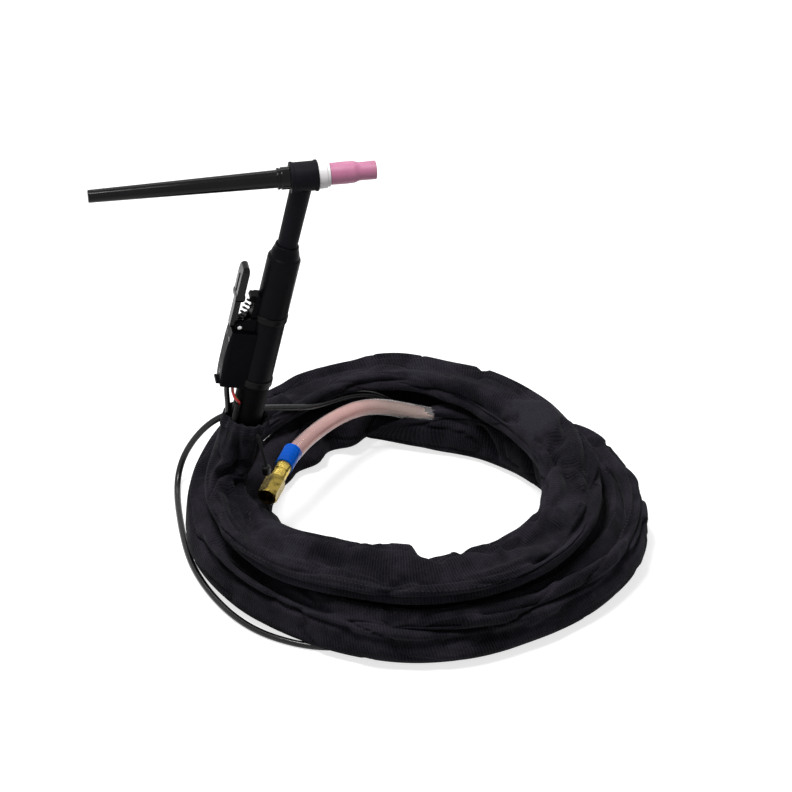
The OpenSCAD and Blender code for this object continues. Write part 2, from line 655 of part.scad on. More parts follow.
module lever() color([0.07, 0.07, 0.08]) difference() {
    union() {
        in_switch(stem_w) linear_extrude(stem_w) lever_side();
        intersection() {
            in_switch(leaf_w + 2) linear_extrude(leaf_w + 2) leaf_side();
            in_handle() translate([-pivot_r - 20, 0, 0]) rotate([90, 0, 90]) linear_extrude(40) leaf_front();
        }
        in_handle(leaf_t + 6) translate([-pivot_r - 7.2, 0, 0]) cylinder(r = 0.8, h = leaf_top - leaf_t - 14);
        in_spring(-3.4) cylinder(r = spring_d / 2 - 0.1, h = 3.4, $fn = 32);
        in_spring(-1) cylinder(r = spring_d / 2 - spring_wire - 0.6, h = 4.5, $fn = 24);
    }
    in_switch(20) translate([pivot_r, pivot_t, 0]) cylinder(r = pin_d / 2 + run, h = 20);
}

module lever_pin() color([0.75, 0.75, 0.77]) in_switch(2 * lug_gap + 5.2) translate([pivot_r, pivot_t, 0])
    cylinder(d = pin_d, h = 2 * lug_gap + 5.2);

// A coil spring whose wire ends stand square on its two seats
module return_spring() color([0.7, 0.7, 0.72]) in_spring() {
    wire = spring_wire;
    r = (spring_d - wire) / 2;
    rise = (spring_l - 3 * wire) / spring_curls;
    curl = [for (i = [0 : spring_curls * 8]) let (a = i * 45)
        [r * cos(a), r * sin(a), 1.5 * wire + rise * a / 360]];
    last = curl[len(curl) - 1];
    tube(concat([[r, 0, 0]], curl, [[last[0], last[1], spring_l]]), wire, 6, unit([0.3, 0.2, 1]));
}

module switch_gland() color([0.05, 0.05, 0.05]) in_handle() translate([-gland_x, 0, 0]) {
    bore = switch_cable_d / 2 + seat;
    turned([[bore, case_t - 4], [2.8, case_t - 4], [3.8, case_t - 1], [3.8, case_t], [3, case_t],
        [3, case_t + case_wall], [3.5, case_t + case_wall], [3.3, case_t + case_wall + 1], [bore, case_t + case_wall + 1]]);
}

module switch_cable() color([0.06, 0.06, 0.06]) in_handle() tube(switch_route, switch_cable_d, 8, [0, 1, 0]);

module red_lead() color([0.7, 0.08, 0.08]) in_handle() tube(red_route, lead_d, 8, [1, 0, 0]);

module green_lead() color([0.05, 0.4, 0.15]) in_handle() tube(green_route, lead_d, 8, [1, 0, 0]);

module lead_sleeve() color([0.05, 0.05, 0.05]) in_handle() translate([sleeve_at[0], sleeve_at[1], cuff_t])
    cylinder(r = 2.2, h = sleeve_at[2] - cuff_t);

// Jacket

module jacket_cuff() color([0.12, 0.12, 0.14]) in_handle(cuff_t) {
    r = cuff_d / 2;
    inner = r - cuff_wall;
    turned(concat([[inner, 0], [r, 0], [r, cuff_l - 4]], arc([r - 0.4, cuff_l - 3.2], 0.8, -60, 30, 3),
        arc([(r + inner) / 2, cuff_l - cuff_wall / 2], cuff_wall / 2, 0, 180, 6)));
}

// How far a standing turn spreads at the two sides of the coil
function side_spread(a) = spread * pow(cos(a + lie), 4);

// Half the width of a standing turn, which is also squeezed at the back and fuller at the front
function half_width(a) = turn_w / 2 - squeeze * sin(a + lie) + side_spread(a);

function outer_lane(a) = outer_r + bulge * sin(a + lie) + oval * cos(2 * (a + lie))
    + corner * cos(4 * (a + lie)) + drift * cos(a + lie) - side_spread(a);

function inner_lane(a) = outer_lane(a) - 2 * half_width(a) - row_gap;

function over(stretch, a) = ease(stretch[0], stretch[1], a);

function start_lane(a) = top_r + start_in * (1 - over(settles, a));

// The jacket starts on top of the inner turn, spirals out at the back, drops to the floor on the left,
// runs a lap outside and a lap inside, and ends at the back
function lane(a) = a < arch_down[0] ? blend(start_lane(a), outer_lane(a), over(swings_out, a))
    : blend(outer_lane(a), inner_lane(a), over(swings_in, a)) - 4.5 * over(ends, a);

function on_top(a) = 1 - over(drops, a);

function hump(a) = over(hump_up, a) - over(hump_down, a);

function turn_z(a) = turn_h / 2 + (turn_h / 2 + row_gap + flat_h / 2) * on_top(a) + hump_h * hump(a);

function turn_wide(a) = blend(half_width(a), flat_w / 2 - start_narrow * (1 - over(widens, a))
    - 4 * over(thins, a), on_top(a)) - 2 * over(ends, a);

function turn_high(a) = (blend(turn_h, flat_h, on_top(a)) / 2 - 2 * hump(a)) / half_sixth;

function arch(a) = cable_lift * (over(arch_up, a) - over(arch_down, a));

// The coil is cut flat where it lies on the floor
sink = 0.6;
floor_block = 600;

// One six-sided ring of the coil, moved along the jacket by run
function coil_ring(a, run_on = 0) = let (out = [cos(a), sin(a), 0], along = [-sin(a), cos(a), 0])
    [for (k = [0 : 5]) lane(a) * out + along * run_on + turn_wide(a) * cos(60 * k) * out
        + [0, 0, turn_z(a) - turn_high(a) * sin(60 * k) + (k == 1 || k == 2 ? arch(a) - sink * (1 - on_top(a)) : 0)]];

coil = concat([coil_ring(coil_from, -start_run)],
    [for (i = [0 : coil_rings]) coil_ring(coil_from + i * coil_step)],
    [coil_ring(coil_to, mouth_run / 2), coil_ring(coil_to, mouth_run)]);

// Six corners and three points on each side
function ring_samples(r) = [for (k = [0 : 5], s = [0, 0.25, 0.5, 0.75]) blend(r[k], r[(k + 1) % 6], s)];

function least(list) = min([for (x = list) x]);

module jacket_coil() color([0.13, 0.13, 0.15]) {
    samples = [for (r = coil) ring_samples(r)];
    self_gap = least([for (i = [0 : len(coil) - 9], j = [i + 8 : len(coil) - 1])
        norm(coil[i][0] - coil[j][0]) > 70 ? 99
            : least([for (p = samples[i], q = samples[j]) norm(p - q)])]);
    echo(str("least gap of the coil to itself, mm: ", self_gap));
    in_coil() difference() {
        polyhedron([for (r = coil) for (p = r) p], tube_faces(len(coil), 6), convexity = 8);
        translate([-floor_block / 2, -floor_block / 2, -floor_block]) cube(floor_block);
    }
}

// The jacket comes down round from the cuff and flattens into the start of the coil
module jacket_riser() color([0.12, 0.12, 0.14]) {
    down = -[sin(lean), 0, cos(lean)];
    from = [0, 0, foot_z] - down * cuff_t;
    out = [cos(coil_from), sin(coil_from), 0];
    along = [-sin(coil_from), cos(coil_from), 0];
    to = [coil_x, coil_y, turn_z(coil_from)] + lane(coil_from) * out - along * start_run;
    bend = [from, from + down * 34, to - along * 26, to];
    steps = 8;
    rings = [for (i = [0 : steps]) let (s = i / steps, q = 1 - s,
            at = q * q * q * bend[0] + 3 * q * q * s * bend[1] + 3 * q * s * s * bend[2] + s * s * s * bend[3],
            t = unit(q * q * (bend[1] - bend[0]) + 2 * q * s * (bend[2] - bend[1]) + s * s * (bend[3] - bend[2])),
            w = unit(out - (out * t) * t), h = cross(w, t), share = ease(0, 1, s))
        for (k = [0 : 11]) let (
            even = [turn_wide(coil_from) * cos(60 * floor(k / 2)), turn_high(coil_from) * sin(60 * floor(k / 2))],
            next = [turn_wide(coil_from) * cos(60 * ceil(k / 2)), turn_high(coil_from) * sin(60 * ceil(k / 2))],
            flat = (even + next) / 2,
            round = cuff_d / 2 * [cos(30 * k), sin(30 * k)],
            p = blend(round, flat, share)) at + w * p[0] - h * p[1]];
    polyhedron(rings, tube_faces(steps + 1, 12), convexity = 4);
}

module tie_cord() color([0.08, 0.08, 0.09]) translate([0, 0, foot_z]) {
    tube(tie_route, 2.4, 8, [1, 0, 0]);
    translate(lock_at - [0, 0, 6]) cylinder(d = 2.4, h = 6, $fn = 8);
}

module cord_lock() color([0.04, 0.04, 0.05]) translate([0, 0, foot_z] + lock_at)
    turned(concat([[0, 0]], arc([1.8, 1.4], 1.4, -90, 0, 3), arc([1.8, 6.6], 1.4, 0, 90, 3), [[0, 8]]));

// End of the hose

function mouth_middle() = let (last = coil_ring(coil_to, mouth_run)) (last[0] + last[3]) / 2;

module hose_tail() color([0.85, 0.8, 0.78]) {
    mouth = mouth_middle() + [0, 0, hose_up];
    onward = [-sin(coil_to), cos(coil_to), 0];
    end_way = [cos(end_turn) * cos(end_dip), sin(end_turn) * cos(end_dip), -sin(end_dip)];
    in_coil() tube(concat([mouth, mouth + onward * hose_d / 2], hose_route,
        [end_from, end_from + end_way * (end_sleeve_l - 0.5)]), hose_d, 12);
}

module blue_sleeve() color([0.05, 0.3, 0.75]) in_end()
    soft_ring(end_sleeve_d / 2, hose_d / 2, end_sleeve_l - 0.5, 0.4);

module ferrule() color([0.8, 0.7, 0.45]) in_end(end_sleeve_l - 0.5) {
    r = ferrule_d / 2;
    groove = r - 0.7;
    mid = ferrule_l / 2;
    turned([[4.4, 0], [r - 0.4, 0], [r, 0.4], [r, mid - 1.4], [groove, mid - 0.9], [groove, mid + 0.9],
        [r, mid + 1.4], [r, ferrule_l - 0.4], [r - 0.4, ferrule_l], [4.4, ferrule_l]]);
}

nut_back = end_sleeve_l + ferrule_l;
nut_chamber = 3.4;
nipple_r = nut_thread_d / 2 - 0.2;

module hose_nipple() color([0.72, 0.6, 0.3]) in_end(end_sleeve_l - 0.5) {
    back = nut_back + nut_chamber - end_sleeve_l + 0.5;
    turned([[2.2, 0], [4.4, 0], [4.4, back], [nipple_r, back], [nipple_r, back + 2.6], [3.4, back + 4.8],
        [2.2, back + 4.8]]);
}

module swivel_nut() color([0.76, 0.62, 0.3]) in_end(nut_back) difference() {
    r = nut_af / 2 / cos(30);
    intersection() {
        cylinder(r = r, h = nut_l, $fn = 6);
        turned([[0, 0], [r - 1.2, 0], [r + 0.1, 1.6], [r + 0.1, nut_l - 1.6], [r - 1.2, nut_l], [0, nut_l]]);
    }
    translate([0, 0, -1]) cylinder(r = 4.4 + run, h = nut_l);
    translate([0, 0, nut_chamber - gap]) cylinder(r = nut_thread_d / 2 + 0.3, h = 5.4);
    translate([0, 0, nut_chamber]) cylinder(r = nut_thread_d / 2, h = nut_l);
}

module control_cable() color([0.04, 0.04, 0.04]) {
    onward = [-sin(coil_to), cos(coil_to), 0];
    mouth = mouth_middle() + cable_out * [cos(coil_to), sin(coil_to), 0] + [0, 0, cable_up];
    in_coil() tube(concat([mouth, mouth + onward * control_d], control_route), control_d);
}

module control_plug() color([0.03, 0.03, 0.03]) in_coil() translate(plug_from) rotate([0, 0, plug_turn]) rotate([0, 90, 0])
    turned([[0, 0], [control_d / 2 + 0.8, 0], [plug_d / 2, 9], [plug_d / 2, plug_l - 8], [plug_d / 2 - 1, plug_l - 8],
        [plug_d / 2 - 1, plug_l - 0.5], [plug_d / 2 - 1.5, plug_l], [0, plug_l]]);

back_cap();
cap_o_ring();
head_core();
head_cover();
gasket();
collet();
collet_body();
nozzle();
neck_tube();
hose_union();
crimp_ring();
power_hose();
handle_front();
handle_rear();
straps();
hose_boot();
switch_base();
switch_case();
case_screws();
microswitch();
plunger();
lever();
lever_pin();
return_spring();
switch_gland();
switch_cable();
red_lead();
green_lead();
lead_sleeve();
jacket_cuff();
tie_cord();
cord_lock();
jacket_riser();
jacket_coil();
hose_tail();
blue_sleeve();
ferrule();
hose_nipple();
swivel_nut();
control_cable();
control_plug();
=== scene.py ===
import math

import bpy
import numpy as np
from mathutils import Matrix, Vector, noise


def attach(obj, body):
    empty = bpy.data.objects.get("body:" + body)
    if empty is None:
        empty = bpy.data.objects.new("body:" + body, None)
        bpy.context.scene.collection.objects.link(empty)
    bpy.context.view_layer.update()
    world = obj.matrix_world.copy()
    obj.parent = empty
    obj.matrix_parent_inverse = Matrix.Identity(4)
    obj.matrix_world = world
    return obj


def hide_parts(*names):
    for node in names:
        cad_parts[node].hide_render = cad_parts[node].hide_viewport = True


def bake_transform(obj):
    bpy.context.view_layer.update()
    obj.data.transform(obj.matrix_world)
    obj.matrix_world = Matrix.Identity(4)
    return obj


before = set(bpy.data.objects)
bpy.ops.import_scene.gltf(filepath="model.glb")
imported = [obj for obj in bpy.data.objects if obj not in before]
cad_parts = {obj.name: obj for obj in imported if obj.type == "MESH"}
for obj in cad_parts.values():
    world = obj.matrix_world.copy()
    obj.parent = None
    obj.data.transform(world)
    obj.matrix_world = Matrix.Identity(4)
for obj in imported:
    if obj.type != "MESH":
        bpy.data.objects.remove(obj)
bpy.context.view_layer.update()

# Studio: the torch stands on a white sweep under a large soft lamp, and a long lamp behind it draws the
# streaks of light along the gloss parts. The camera looks down on it from the front.
MM = 0.001
COIL = np.array((122, -32, 0))
CAMERA_TURN, CAMERA_HEIGHT, CAMERA_AWAY, LENS = math.radians(10), math.radians(35), 3.0, 36 * 4000 / 792


def aim_camera(look_at, turn, height, distance, lens, aside, lower):
    """Points a camera at a place and then slides it, without turning it."""
    flat = Vector((math.sin(turn), math.cos(turn), 0))
    back = Vector((0, 0, 1)) * math.sin(height) - flat * math.cos(height)
    right = Vector((math.cos(turn), -math.sin(turn), 0))
    up = back.cross(right)
    data = bpy.data.cameras.new("camera")
    data.lens, data.sensor_width = lens, 36
    data.clip_start, data.clip_end = 0.1, 20
    camera = bpy.data.objects.new("camera", data)
    place = look_at + back * distance - right * aside - up * lower
    camera.matrix_world = Matrix.Translation(place) @ Matrix((right, up, back)).transposed().to_4x4()
    bpy.context.collection.objects.link(camera)
    bpy.context.scene.camera = camera


aim_camera(Vector(COIL) * MM, CAMERA_TURN, CAMERA_HEIGHT, CAMERA_AWAY, LENS, aside=0.015, lower=-0.10875)


def add_lamp(name, place, towards, size, power, colour=(1, 1, 1)):
    data = bpy.data.lights.new(name, "AREA")
    data.shape, data.size, data.size_y = "RECTANGLE", size[0], size[1]
    data.energy, data.color = power, colour
    lamp = bpy.data.objects.new(name, data)
    lamp.location = place
    lamp.rotation_euler = (Vector(place) - Vector(towards)).to_track_quat("Z", "Y").to_euler()
    bpy.context.collection.objects.link(lamp)


add_lamp("soft_lamp", (-0.3, -0.1, 1.9), (0.08, 0, 0.1), (0.7, 0.5), 33)
add_lamp("long_lamp", (0.1, 1.1, 1.4), (0.0, 0, 0.25), (2.2, 0.16), 6)

world = bpy.data.worlds.new("studio")
bpy.context.scene.world = world
bpy.context.scene.view_settings.view_transform = "Standard"
world.use_nodes = True


class Wire:
    """A socket of a shader, with arithmetic, so that shader maths reads as an expression."""

    def __init__(self, tree, socket):
        self.tree, self.socket = tree, socket

    def node(self, kind, values=None, out=0, **settings):
        """Adds a node of one kind. Its settings are made first, then its sockets get values or links."""
        made = self.tree.nodes.new("ShaderNode" + kind)
        for name, value in settings.items():
            setattr(made, name, value)
        for name, value in (values or {}).items():
            if isinstance(value, Wire):
                self.tree.links.new(value.socket, made.inputs[name])
            else:
                made.inputs[name].default_value = value
        return None if out is None else Wire(self.tree, made.outputs[out])

    def maths(self, operation, *others):
        return self.node("Math", dict(enumerate((self, *others))), operation=operation)

    def __add__(self, other):
        return self.maths("ADD", other)

    def __sub__(self, other):
        return self.maths("SUBTRACT", other)

    def __mul__(self, other):
        return self.maths("MULTIPLY", other)

    def __rsub__(self, other):
        return (self * -1) + other

    __radd__, __rmul__ = __add__, __mul__

    def between(self, low, high):
        """0 below low, 1 above high, and smooth between."""
        return self.node("MapRange", {"Value": self, "From Min": low, "From Max": high},
                         interpolation_type="SMOOTHSTEP")

    def tint(self, dark, light):
        """Goes from one colour to another as this goes from 0 to 1."""
        return self.node("Mix", {"Factor": self, 6: dark, 7: light}, out=2, data_type="RGBA")


def start_tree(holder):
    tree = holder.node_tree
    tree.nodes.clear()
    return Wire(tree, None)


sky = start_tree(world)
slope = sky.node("SeparateXYZ", {0: sky.node("TexCoord", out="Generated")}, out="Z")
glow = slope.between(-0.1, 0.9).tint((0.12, 0.12, 0.125, 1), (0.62, 0.62, 0.62, 1))


def shown_white(start):
    """1 for what the camera sees, also in a reflection or through glass, and 0 for light on the object."""
    return start.node("LightPath", out="Is Camera Ray").maths(
        "MAXIMUM", start.node("LightPath", out="Is Glossy Ray")).maths(
        "MAXIMUM", start.node("LightPath", out="Is Transmission Ray"))


seen = sky.node("MixShader", {
    0: shown_white(sky), 1: sky.node("Background", {"Color": glow, "Strength": 0.36}),
    2: sky.node("Background", {"Color": (1, 1, 1, 1), "Strength": 1.0})})
sky.node("OutputWorld", {"Surface": seen}, out=None)

bpy.ops.object.select_all(action="DESELECT")
bpy.ops.mesh.primitive_plane_add(size=8, location=(0, 0, -0.0002))
floor = bpy.context.object
floor.name = "floor"
floor.data.materials.append(bpy.data.materials.new("white_floor"))
floor.active_material.use_nodes = True
paper = start_tree(floor.active_material)
grey = paper.node("BsdfDiffuse", {"Color": (0.6, 0.6, 0.6, 1)})
lift = paper.node("Emission", {"Color": (1, 1, 1, 1), "Strength": 0.74})
both = paper.node("AddShader", {0: grey, 1: lift})
paper.node("OutputMaterial", {"Surface": paper.node("MixShader", {
    0: shown_white(paper), 1: grey, 2: both})}, out=None)


# Jacket: a sleeve of black ribbed twill round the hose and the cables, closed along one side by a stitched
# flap. A cord gathers its cuff round the handle. It is laid as a lap on top, one outside and one inside, and
# ends in an open mouth.
LEAN = math.radians(12.7)
FOOT = np.array((0, 0, 106.2))
UP_HANDLE = np.array((math.sin(LEAN), 0, math.cos(LEAN)))
TURN_H, FLAT_H, ROW_GAP = 41, 22, 1.2
COIL_FROM, COIL_TO = 189, 1149
CUFF_R, CUFF_TOP, CUFF_LOW = 17.9, 3, 14
RUN_IN, MOUTH_RUN = 22, 30
RING_STEP, RING_POINTS = 2.35, 84


def ease(low, high, x):
    share = np.clip((x - low) / (high - low), 0, 1)
    return share * share * (3 - 2 * share)


def place_lap(a):
    """Radius, height, half width and half height of the sleeve at an angle of the coil, in mm."""
    along = np.radians(a + 10)
    spread = 2.6 * np.cos(along) ** 4
    half = 14.4 - 1.9 * np.sin(along) + spread
    outer = (149.3 + 4.5 * np.sin(along) + 7.5 * np.cos(2 * along) + 3 * np.cos(4 * along)
             + 1.5 * np.cos(along) - spread)
    inner = outer - 2 * half - ROW_GAP
    top = 116 + 22 * (1 - ease(189, 245, a))
    radius = np.where(a < 600, top + (outer - top) * ease(380, 465, a),
                      outer + (inner - outer) * ease(792, 890, a) - 4.5 * ease(1085, COIL_TO, a))
    on_top = 1 - ease(488, 538, a)
    hump = ease(425, 448, a) - ease(466, 492, a)
    height = TURN_H / 2 + (TURN_H / 2 + ROW_GAP + FLAT_H / 2) * on_top + 3 * hump
    flat = 23.5 - 6 * (1 - ease(189, 225, a)) - 4 * ease(400, 470, a)
    wide = half + (flat - half) * on_top - 2 * ease(1085, COIL_TO, a)
    high = (TURN_H + (FLAT_H - TURN_H) * on_top) / 2 - 2 * hump
    return radius, height, wide, high


def coil_ways(a):
    """The directions out of the coil and along its lap at an angle of the coil."""
    out = np.array((math.cos(math.radians(a)), math.sin(math.radians(a)), 0))
    return out, np.array((-out[1], out[0], 0))


def run_of(line):
    """How far along a line of points each of them lies."""
    return np.concatenate(((0,), np.cumsum(np.linalg.norm(np.diff(line, axis=0), axis=1))))


def lay_jacket(step):
    """Stations along the sleeve: centre, direction across it, direction over it, half width, half height,
    squareness and the angle of the coil."""
    out, along = coil_ways(COIL_FROM)
    radius, height, wide, high = place_lap(np.array(float(COIL_FROM)))
    turn_in = COIL + out * radius + np.array((0, 0, height)) - along * RUN_IN
    low = FOOT - CUFF_LOW * UP_HANDLE
    bend = (low, low - 34 * UP_HANDLE, turn_in - 26 * along, turn_in)
    stations = []

    def add(centre, way, cross, w, h, square, a):
        stations.append([centre, cross, np.cross(cross, way), w, h, square, a])

    for t in np.arange(CUFF_TOP, -CUFF_LOW, -step):
        cross = out - UP_HANDLE * (out @ UP_HANDLE)
        add(FOOT + t * UP_HANDLE, -UP_HANDLE, cross / np.linalg.norm(cross), CUFF_R, CUFF_R, 0, 0)
    for s in np.linspace(0, 1, int(100 / step)):
        q = 1 - s
        centre = q ** 3 * bend[0] + 3 * q * q * s * bend[1] + 3 * q * s * s * bend[2] + s ** 3 * bend[3]
        way = q * q * (bend[1] - bend[0]) + 2 * q * s * (bend[2] - bend[1]) + s * s * (bend[3] - bend[2])
        way = way / np.linalg.norm(way)
        cross = out - way * (out @ way)
        share = ease(0, 1, s)
        add(centre, way, cross / np.linalg.norm(cross), CUFF_R + (wide - CUFF_R) * share,
            CUFF_R + (high - CUFF_R) * share, share, 0)
    for run in np.arange(-RUN_IN + step, 0, step):
        add(turn_in + along * (RUN_IN + run), along, out, wide, high, 1, 0)
    # before the coil the angle goes on by 1 degree for each 2.2 mm of sleeve
    far = run_of(np.array([s[0] for s in stations]))
    for station, done in zip(stations, far):
        station[6] = COIL_FROM - (far[-1] + step - done) / 2.2
    a = float(COIL_FROM)
    while a < COIL_TO:
        radius, height, wide, high = place_lap(np.array(a))
        out, along = coil_ways(a)
        add(COIL + out * radius + np.array((0, 0, height)), along, out, wide, high, 1, a)
        a += math.degrees(step / float(radius))
    radius, height, wide, high = place_lap(np.array(float(COIL_TO)))
    out, along = coil_ways(COIL_TO)
    last = COIL + out * radius + np.array((0, 0, height))
    for run in np.arange(step / 2, MOUTH_RUN + 0.01, step):
        add(last + along * run, along, out, wide, high, 1, COIL_TO + run / 2)
    return stations


def skin(name, rings):
    """A closed tube through rings of points in mm, with the distance along and round it as its UV map."""
    rings = np.asarray(rings, float)
    count, sides = rings.shape[:2]
    faces = [(i * sides + j, (i + 1) * sides + j, (i + 1) * sides + (j + 1) % sides,
              i * sides + (j + 1) % sides) for i in range(count - 1) for j in range(sides)]
    tips = np.array((rings[0].mean(0), rings[-1].mean(0)))
    faces += [(count * sides, j, (j + 1) % sides) for j in range(sides)]
    start = (count - 1) * sides
    faces += [(count * sides + 1, start + (j + 1) % sides, start + j) for j in range(sides)]
    points = np.concatenate((rings.reshape(-1, 3), tips)) * MM
    mesh = bpy.data.meshes.new(name)
    mesh.from_pydata(points.tolist(), [], faces)
    corners = np.array([f[:3] for f in faces])
    volume = np.einsum("ij,ij->i", points[corners[:, 0]],
                       np.cross(points[corners[:, 1]], points[corners[:, 2]])).sum()
    if volume < 0:
        mesh.flip_normals()
    far = run_of(rings.mean(1)) * MM
    widest = rings[count // 2]
    girth = np.concatenate(((0,), np.cumsum(np.linalg.norm(np.roll(widest, -1, 0) - widest, axis=1)))) * MM
    layer = mesh.uv_layers.new(name="along")
    for polygon in mesh.polygons:
        numbers = [mesh.loops[k].vertex_index for k in polygon.loop_indices]
        closing = {n % sides for n in numbers if n < count * sides} >= {0, sides - 1}
        for k, n in zip(polygon.loop_indices, numbers):
            if n >= count * sides:
                layer.data[k].uv = (far[0 if n == count * sides else -1], 0)
            else:
                turned = sides if closing and n % sides == 0 else n % sides
                layer.data[k].uv = (far[n // sides], girth[turned])
    mesh.shade_smooth()
    piece = bpy.data.objects.new(name, mesh)
    bpy.context.collection.objects.link(piece)
    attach(piece, "torch")
    return piece


# Creases and welts of the cloth: angle of the coil and place round the sleeve where each starts and where it
# ends, half its width and its height in mm. Place 0 faces out of the coil, 90 up, 180 in and 270 down.
FOLDS = (
    (158, 100, 168, 40, 4.9, -7), (165, 78, 175, 22, 5.7, -12), (170, 120, 182, 150, 4.1, -8.8),
    (174, 58, 186, 12, 3.4, 3.6), (176, 95, 190, 110, 4.9, -7.9), (160, 15, 186, 350, 6, -5.1),
    (150, 60, 160, 85, 3.3, -6.1), (148, 130, 164, 160, 4.1, -6.1), (154, 200, 176, 190, 5.1, -4.8),
    (163, 100, 172, 70, 3.4, 3.6), (178, 128, 192, 146, 4.2, 3.6), (184, 84, 196, 58, 4.1, -7),
    (192, 116, 204, 74, 6.6, -12), (204, 74, 226, 94, 4.9, -8.8), (196, 66, 210, 46, 5.1, 3.6),
    (205, 48, 246, 62, 6.8, 3), (222, 100, 248, 76, 4.1, -8.8), (240, 112, 266, 104, 5.1, 3),
    (250, 66, 296, 86, 5.1, -5.1), (228, 64, 252, 52, 4.2, -4.8), (262, 40, 300, 48, 6, 2.4),
    (200, 160, 236, 150, 14, 5.5), (245, 150, 256, 140, 7.6, 7.5), (262, 160, 268, 120, 5.7, -6.1),
    (280, 158, 290, 118, 5.1, -5.1), (298, 116, 320, 78, 4.9, -7.4), (310, 60, 330, 40, 5.1, -4.2),
    (332, 124, 344, 74, 4.9, -11.4), (342, 52, 354, 8, 4.9, -11.4), (350, 172, 363, 112, 4.1, -8.8),
    (318, 140, 345, 150, 4.2, -5.4), (356, 60, 373, 26, 4.1, -7.7), (368, 108, 381, 56, 3.3, -8),
    (376, 84, 392, 60, 6, 3.3), (394, 124, 402, 160, 3.5, -5), (404, 142, 432, 170, 7.4, -8),
    (410, 110, 442, 134, 6.8, 3.3), (444, 150, 462, 175, 4.9, -6.3), (420, 76, 452, 92, 6, -5.4),
    (456, 60, 478, 80, 6.8, -5.1), (470, 98, 494, 134, 6.6, -6.6), (500, 120, 520, 70, 5.7, -6.3),
    (480, 40, 512, 62, 10.2, -5.1), (305, 62, 350, 74, 13.6, -4.2), (545, 18, 602, 352, 7.6, -3.8),
    (548, 60, 575, 45, 5.1, 3), (562, 350, 590, 335, 5.1, -3.2), (556, 100, 576, 84, 4.2, -5.4),
    (584, 60, 606, 40, 5.1, -3.8), (596, 88, 618, 76, 4.2, 3), (612, 76, 632, 56, 4.1, -8.8),
    (614, 50, 640, 20, 4.1, -7.7), (626, 15, 668, 2, 6.8, -3.8), (632, 64, 652, 50, 4.2, 3.6),
    (638, 120, 658, 110, 4.1, -10.5), (658, 110, 684, 94, 4.1, -12), (684, 94, 704, 108, 4.1, -12),
    (704, 108, 724, 124, 4.1, -10.5), (664, 84, 690, 66, 6, 3.6), (640, 72, 668, 40, 5.1, -4.8),
    (688, 50, 716, 40, 6, -4.5), (690, 84, 732, 76, 1.8, -4.2), (693, 74, 732, 66, 1.8, -4.2),
    (716, 30, 735, 60, 4.9, -7), (738, 92, 752, 50, 4.1, -7.7), (756, 20, 790, 40, 6.8, -5.4),
    (780, 100, 802, 70, 4.9, -6.3), (700, 352, 735, 8, 6, -4.5), (820, 120, 846, 85, 5.1, -5.4),
    (880, 190, 892, 150, 4.1, -7), (905, 200, 918, 160, 4.9, -7.4), (948, 190, 956, 140, 4.9, -7),
    (1000, 205, 1012, 160, 4.9, -7.4), (1052, 40, 1068, 20, 5.1, -5.1), (1080, 200, 1088, 150, 4.1, -8),
    (1104, 205, 1110, 150, 4.1, -8.4), (1126, 200, 1134, 145, 4.1, -8), (1140, 150, 1160, 120, 5.1, -4.8),
    (830, 200, 838, 150, 4.9, -7.9), (852, 205, 858, 160, 4.1, -7), (552, 80, 590, 74, 7, -6),
    (590, 74, 622, 80, 6, -5), (808, 205, 816, 150, 5.7, -7), (846, 185, 880, 180, 15, -8),
    (300, 40, 352, 52, 3.4, -6), (262, 60, 300, 52, 3, -5), (318, 78, 352, 96, 3.4, -7),
    (456, 84, 476, 70, 8, -5), (440, 60, 470, 66, 5, -5), (458, 40, 486, 58, 9, -5),
    (545, 40, 600, 20, 3.4, -5.5), (560, 70, 590, 62, 3.2, -5), (600, 10, 650, 356, 3.6, -5),
    (650, 40, 690, 26, 3.6, -5.5), (664, 8, 705, 22, 3.4, -5), (366, 190, 396, 200, 12, -5),
)
# Lines of stitching, as angle of the coil and place round the sleeve
SEAMS = (
    ((178, 60), (184, 50), (190, 30), (194, 5), (200, 350)),
    ((189, 112), (211, 140), (237, 122), (266, 140), (300, 148), (340, 168), (372, 160)),
    ((205, 12), (236, 22), (262, 14), (292, 6)),
    ((552, 62), (568, 74), (600, 80), (640, 104), (660, 116), (700, 114), (730, 122)),
    ((690, 80), (732, 72)),
    ((880, 215), (960, 222), (1040, 215), (1130, 210)),
)
NO_SEAM = 99.0


